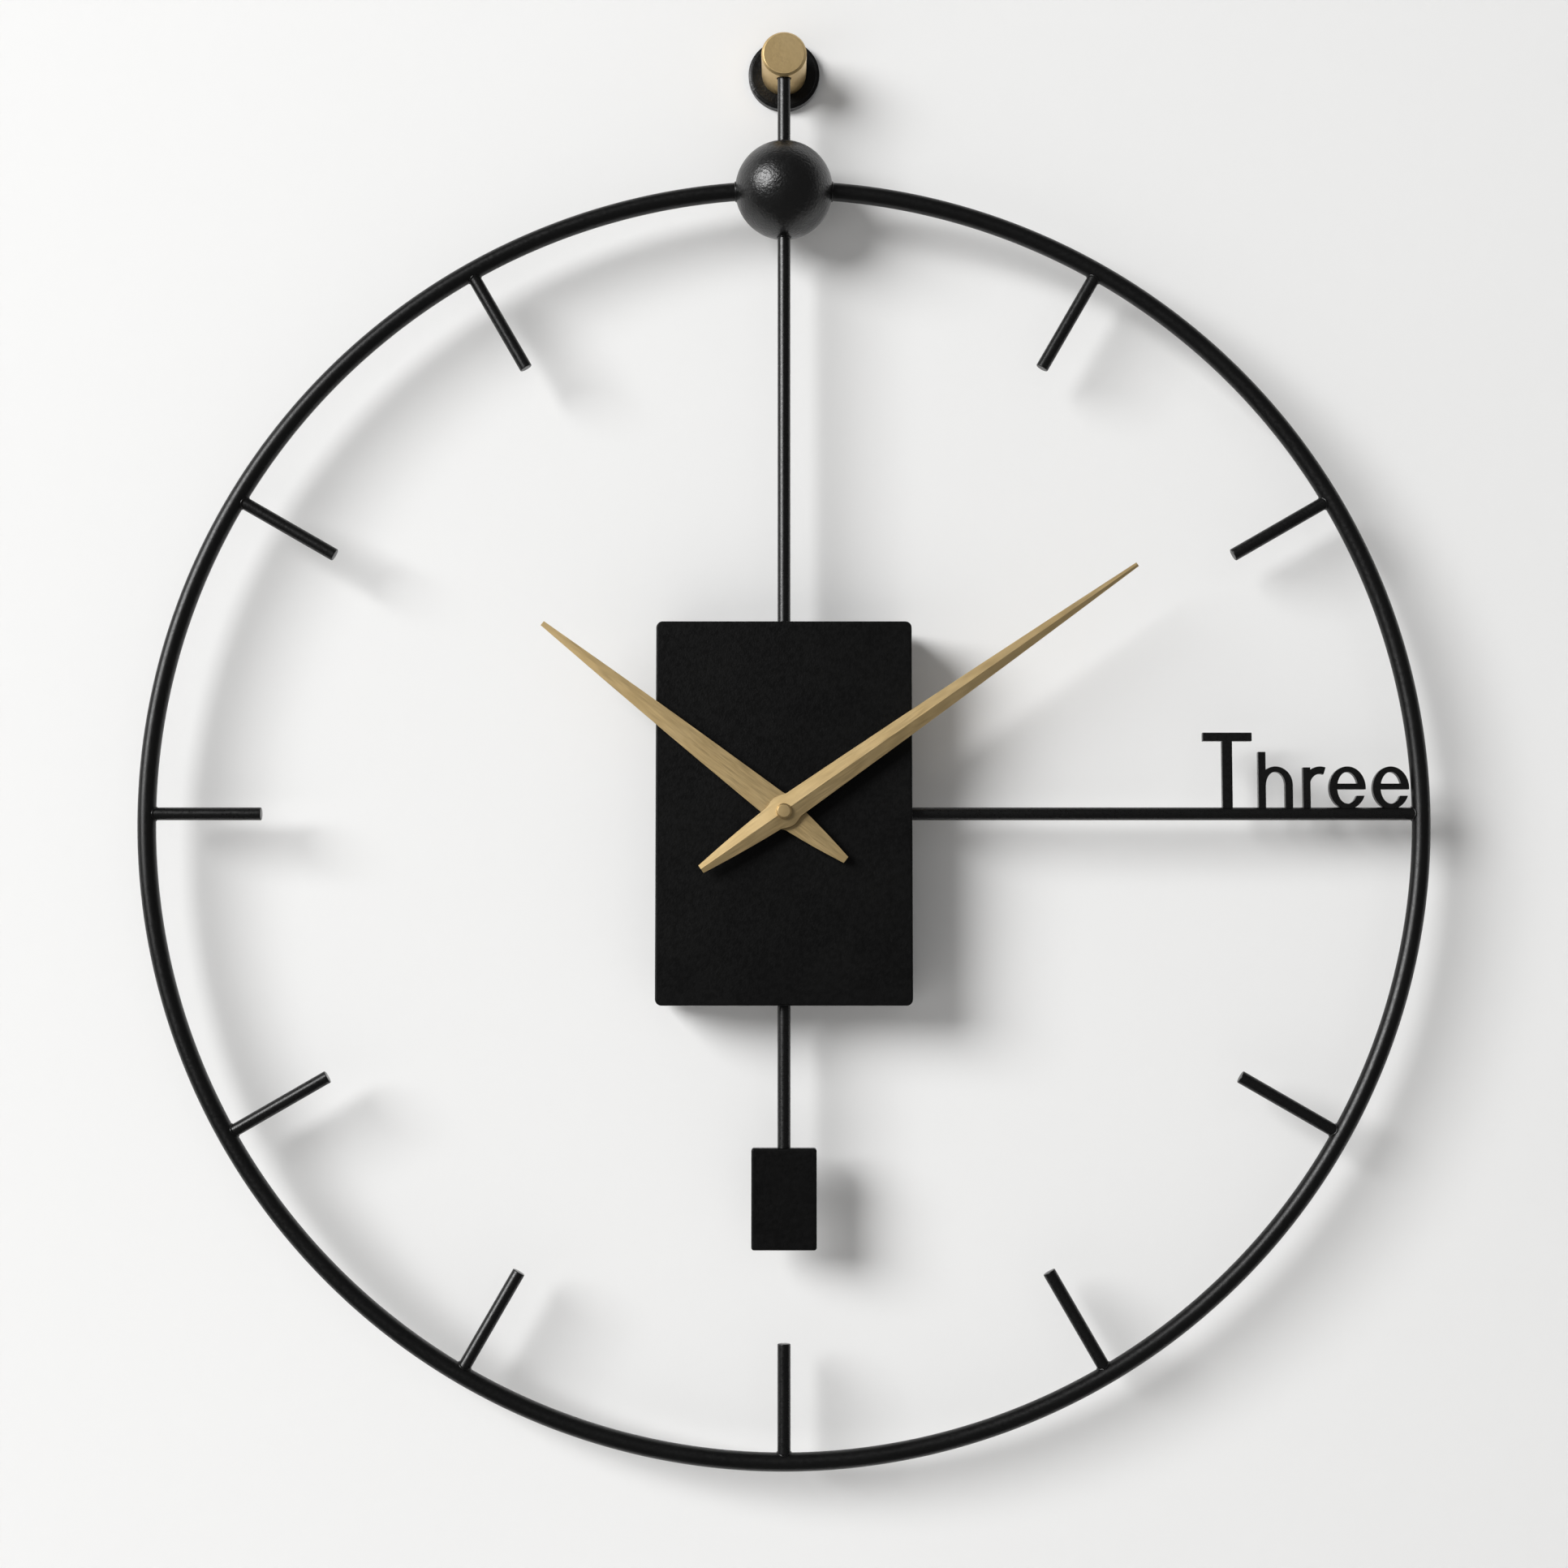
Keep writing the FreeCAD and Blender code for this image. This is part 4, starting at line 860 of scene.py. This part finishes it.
# ---------------------------------------------------------------- nut, washers and screws
def make_centre_fixing(look):
    """Threaded bush that holds the movement to the case, with its nut and washer."""
    low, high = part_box("threaded_bush")
    flange_radius, back, front = high.x, -high.y, -low.y
    bore, pitch, crest, groove = 2.68 * MM, 0.75 * MM, 4.0 * MM, 0.32 * MM
    thread_start = back + 0.6 * MM
    profile = [(bore, back), (flange_radius, back), (flange_radius, thread_start), (crest, thread_start)]
    along = thread_start + pitch
    while along < front - pitch:
        profile += [(crest, along), (crest - groove, along + pitch / 2)]
        along += pitch
    profile += [(crest - 0.1 * MM, along), (crest - 0.5 * MM, front), (bore, front)]
    bush = lathe("bush_with_thread", profile, at(0, 0, 0), OUT_OF_WALL, closed=True, turns=64)
    place(bush, "clock_frame", "yellow_brass", look["brass"], "threaded_bush")

    low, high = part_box("hex_nut")
    corner_radius, back, front = high.x, -high.y, -low.y
    nut = prism("nut", at(0, back, 0), OUT_OF_WALL, front - back, corner_radius, start=math.pi / 6)
    chamfer = 0.55 * MM
    widest, behind, ahead = corner_radius + 0.1 * MM, back - chamfer, front + 0.3 * chamfer
    limit = lathe("nut_limit", [
        (0, behind), (widest - 2 * chamfer, behind), (widest, back + chamfer), (widest, front - chamfer),
        (widest - 2.4 * chamfer, ahead), (0, ahead)], at(0, 0, 0), OUT_OF_WALL, turns=96)
    nut = cut_by(nut, limit, "INTERSECT")
    nut = cut_by(nut, rod("nut_hole", at(0, behind, 0), at(0, front + chamfer, 0), crest))
    place(nut, "clock_frame", "yellow_brass", look["brass"], "hex_nut")

    for name, node, slot, finish, edge in (
            ("brass_disc", "brass_washer", "yellow_brass", look["brass"], 0.12 * MM),
            ("rubber_disc", "rubber_washer", "rubber", look["rubber"], 0.2 * MM)):
        low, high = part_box(node)
        profile = softened([(crest, -high.y, edge), (high.x, -high.y, edge), (high.x, -low.y, edge),
                            (crest, -low.y, edge)], closed=True)
        disc = lathe(name, profile, at(0, 0, 0), OUT_OF_WALL, closed=True, turns=96)
        place(disc, "clock_frame", slot, finish, node)


def make_corner_screws(name, node, spots, look, head_radius, head_height, shank_radius):
    """Screws at (x, z) spots about the dial, with their heads to the wall."""
    low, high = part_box(node)
    back, front = -high.y, -low.y
    screws = [cross_screw(name, at(x, back + head_height, z), -OUT_OF_WALL, head_radius, head_height,
                          shank_radius, front - back - head_height) for x, z in spots]
    place(merged(name, screws), "clock_frame", "bright_steel", look["steel"], node)


# ---------------------------------------------------------------- the back: panel, movement, battery
def curved_arrow(centre, radius, start, end, half_width):
    """Outline of an arrow that bends round a centre, from a start to an end angle."""
    def spot(distance, degrees):
        turn = math.radians(degrees)
        return centre[0] + distance * math.sin(turn), centre[1] + distance * math.cos(turn)
    steps, head_degrees, barb = 24, 18, 2.2 * half_width
    angles = [start + (end - head_degrees - start) * k / steps for k in range(steps + 1)]
    outer = [spot(radius + half_width, angle) for angle in angles]
    inner = [spot(radius - half_width, angle) for angle in reversed(angles)]
    head = [spot(radius + barb, angles[-1]), spot(radius, end), spot(radius - barb, angles[-1])]
    return outer + head + inner


def make_movement(look):
    for name, node in (("clock_movement_rear", "movement_back_shell"),
                       ("clock_movement_front", "movement_front_shell")):
        place(soft_copy(name, node, EDGE_SOFTENING), "clock_frame", "black_plastic", look["plastic"], node)

    knob_low, knob_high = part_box("setting_knob")
    knob = ((knob_low.x + knob_high.x) / 2, (knob_low.z + knob_high.z) / 2 - DIAL_Z)
    back = -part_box("movement_back_shell")[1].y
    raised, sunk, edge = back - 0.45 * MM, back + 0.1 * MM, 0.08 * MM
    arrow_radius, half_stroke, sweep = 9.2 * MM, 0.45 * MM, 130
    relief = [slab("arrow", curved_arrow(knob, arrow_radius, start, start + sweep, half_stroke),
                   raised, sunk, edge) for start in (25, 205)]
    sign_x, sign_z, arm, half_bar = 20.0 * MM, 19.0 * MM, 1.8 * MM, 0.4 * MM
    plus = [(sign_x + u, sign_z + v) for u, v in cross_outline(arm, half_bar)]
    minus = rectangle(-sign_x - arm, -sign_x + arm, sign_z - half_bar, sign_z + half_bar, 0.1 * MM)
    relief += [slab("plus", plus, raised, sunk, edge), slab("minus", minus, raised, sunk, edge)]
    field_outside = rectangle(-19 * MM, 19 * MM, -66 * MM, -24 * MM, 2 * MM)
    field_inside = rectangle(-18 * MM, 18 * MM, -65 * MM, -25 * MM, 1.2 * MM)
    relief.append(slab("blank_field", field_outside, raised, sunk, 0.1 * MM, holes=[field_inside]))
    place(merged("moulded_marks", relief), "clock_frame", "black_plastic", look["plastic"])

    panel_spots = [(side * 60 * MM, end * 94 * MM) for side in (-1, 1) for end in (-1, 1)]
    make_corner_screws("panel_screws", "back_panel_screws", panel_spots, look,
                       head_radius=3.0 * MM, head_height=0.9 * MM, shank_radius=1.5 * MM)
    shell_spots = [(side * 27.0 * MM, -80 * MM) for side in (-1, 1)]
    shell_spots += [(side * 27.2 * MM, 18.4 * MM) for side in (-1, 1)]
    make_corner_screws("shell_screws", "movement_screws", shell_spots, look,
                       head_radius=1.9 * MM, head_height=0.8 * MM, shank_radius=1.0 * MM)
    panel = soft_copy("rear_panel", "back_panel", EDGE_SOFTENING)
    place(panel, "clock_frame", "black_powder_coat", look["flat_coat"], "back_panel")


def make_battery(look):
    """Dry cell with a shrunk sleeve, a pale end band and steel ends."""
    low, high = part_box("battery")
    length, radius = high.x - low.x, (high.z - low.z) / 2
    foot = Vector((low.x, (low.y + high.y) / 2, (low.z + high.z) / 2))
    shoulder, nub, edge = length - 1.1 * MM, 2.75 * MM, 0.1 * MM
    band_start, groove = shoulder - 9 * MM, shoulder - 0.35 * MM
    dish, dish_radius, rim_radius = 0.2 * MM, 4.9 * MM, 5.2 * MM
    sleeve_start, sleeve_inside = 0.26 * MM, radius - 1.5 * MM
    profile = softened([
        (0, dish), (dish_radius, dish, edge), (rim_radius, 0, edge), (radius - 0.7 * MM, 0, 0.15 * MM),
        (radius - 0.5 * MM, 0.25 * MM), (radius, 0.3 * MM, 0.2 * MM), (radius, band_start),
        (radius, shoulder, 0.5 * MM), (radius - 1.4 * MM, shoulder, 0.2 * MM),
        (radius - 1.7 * MM, groove, edge), (nub + 0.3 * MM, groove, edge), (nub, shoulder, edge),
        (nub, length, 0.35 * MM), (0, length)])
    cell = lathe("dry_cell", profile, foot, ALONG_X, turns=96)
    place(cell, "battery", "battery_sleeve", look["sleeve"], "battery")
    cell.data.materials.append(look["sleeve_band"])
    cell.data.materials.append(look["steel"])
    band, bare_steel = 1, 2
    for face in cell.data.polygons:
        along = face.center.x - foot.x
        reach = math.hypot(face.center.y - foot.y, face.center.z - foot.z)
        if reach < sleeve_inside or along < sleeve_start:
            face.material_index = bare_steel
        elif along > band_start:
            face.material_index = band


def make_contacts(look):
    """Two spring-steel blades and the coil spring that pushes the cell."""
    low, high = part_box("battery_contacts")
    bottom, top = low.z - DIAL_Z, high.z - DIAL_Z
    sheet = 0.5 * MM
    blades = []
    for left in (low.x, high.x - sheet):
        outline = rectangle(left, left + sheet, bottom, top, 0.15 * MM)
        blades.append(slab("blade", outline, -high.y, -low.y, 0.12 * MM))
    cell_low, cell_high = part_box("battery")
    middle = (cell_low + cell_high) / 2
    start, end, turns, per_turn = low.x + sheet, cell_low.x, 3.0, 28
    wire, wide, narrowing = 0.26 * MM, 3.4, 1.5        # the last two in millimetres
    path = []
    for k in range(int(turns * per_turn) + 1):
        share = k / (turns * per_turn)
        size = (wide - narrowing * share) * MM
        angle = share * turns * math.tau
        path.append(Vector((start + wire + (end - start - 2 * wire) * share,
                            middle.y + size * math.cos(angle), middle.z + size * math.sin(angle))))
    bm = bmesh.new()
    loops = bead(bm, path, wire, closed=False, unevenness=0.0)
    skin(bm, loops, capped=True)
    blades.append(finished("coil", bm))
    place(merged("contact_blades", blades), "clock_frame", "bright_steel", look["steel"], "battery_contacts")


# ---------------------------------------------------------------- pendulum
def make_pendulum(look):
    stem = upright_rod("bob_rod", "pendulum_rod")
    place(stem, "pendulum", "black_powder_coat", look["rod_coat"], "pendulum_rod")
    low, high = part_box("pendulum_bob")
    outline = rectangle(low.x, high.x, low.z - DIAL_Z, high.z - DIAL_Z, 1.5 * MM)
    bob = slab("bob", outline, -high.y, -low.y, 1.1 * MM, steps=6)
    place(bob, "pendulum", "black_powder_coat", look["flat_coat"], "pendulum_bob")


# ---------------------------------------------------------------- finishes on the CAD nodes
def dress_frame(look):
    """Every CAD node that stays in sight or inside gets the finish of its slot."""
    finishes = {
        "black_powder_coat": look["flat_coat"], "champagne_brass": look["gold"],
        "bright_steel": look["steel"], "yellow_brass": look["brass"], "black_plastic": look["plastic"],
        "white_plastic": look["nylon"], "rubber": look["rubber"], "copper_wire": look["motor_copper"],
        "circuit_board": look["board"], "magnet": look["magnet"], "battery_sleeve": look["sleeve"]}
    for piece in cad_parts.values():
        for holder in piece.material_slots:
            holder.material = finishes[holder.material.name.split(".")[0]]
    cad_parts["drive_coil"].material_slots[0].material = look["drive_copper"]


def make_looks():
    motor_low, motor_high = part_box("motor_coil")
    drive_low, drive_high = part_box("drive_coil")
    return {
        "flat_coat": powder_coat("coat_on_flats", grain=1100.0, relief=0.28),
        "ring_coat": powder_coat("coat_on_ring", 1500.0, 0.16, roughness=(0.28, 0.40), specular=0.36),
        "rod_coat": powder_coat("coat_on_rods", 1500.0, 0.14, roughness=(0.26, 0.36), specular=0.45),
        "ball_coat": powder_coat("coat_on_ball", 750.0, 0.42, roughness=(0.28, 0.34), specular=0.62),
        "coarse_coat": powder_coat("coat_on_rosette", 850.0, 0.4, roughness=(0.3, 0.42), specular=0.3),
        "gold": satin_gold("satin_gold"),
        "minute_gold": satin_gold("gold_minute_hand", MINUTE_HAND["turn"]),
        "hour_gold": satin_gold("gold_hour_hand", HOUR_HAND["turn"]),
        "steel": plated_steel("plated_steel"),
        "brass": turned_brass("turned_brass"),
        "plastic": moulded_plastic("black_moulding", (0.022, 0.022, 0.024), 0.5),
        "nylon": moulded_plastic("white_moulding", (0.66, 0.65, 0.6), 0.4),
        "rubber": soft_rubber("washer_rubber"),
        "motor_copper": wound_copper("motor_winding", "X", (motor_low + motor_high) / 2, "BANDS"),
        "drive_copper": wound_copper("drive_winding", "Y", (drive_low + drive_high) / 2, "RINGS"),
        "board": lacquered_board("lacquered_board"),
        "magnet": dull_magnet("dull_magnet"),
        "sleeve": printed_sleeve("battery_film", (0.05, 0.12, 0.19)),
        "sleeve_band": printed_sleeve("battery_band", (0.62, 0.64, 0.66)),
    }


make_camera()
make_studio()
make_backdrops()
looks = make_looks()
dress_frame(looks)
make_wall_fixing(looks)
make_ring(looks)
make_ball(looks)
make_rods(looks)
make_welds(looks)
make_letters(looks)
make_hands(looks)
make_centre_fixing(looks)
make_movement(looks)
make_battery(looks)
make_contacts(looks)
make_pendulum(looks)
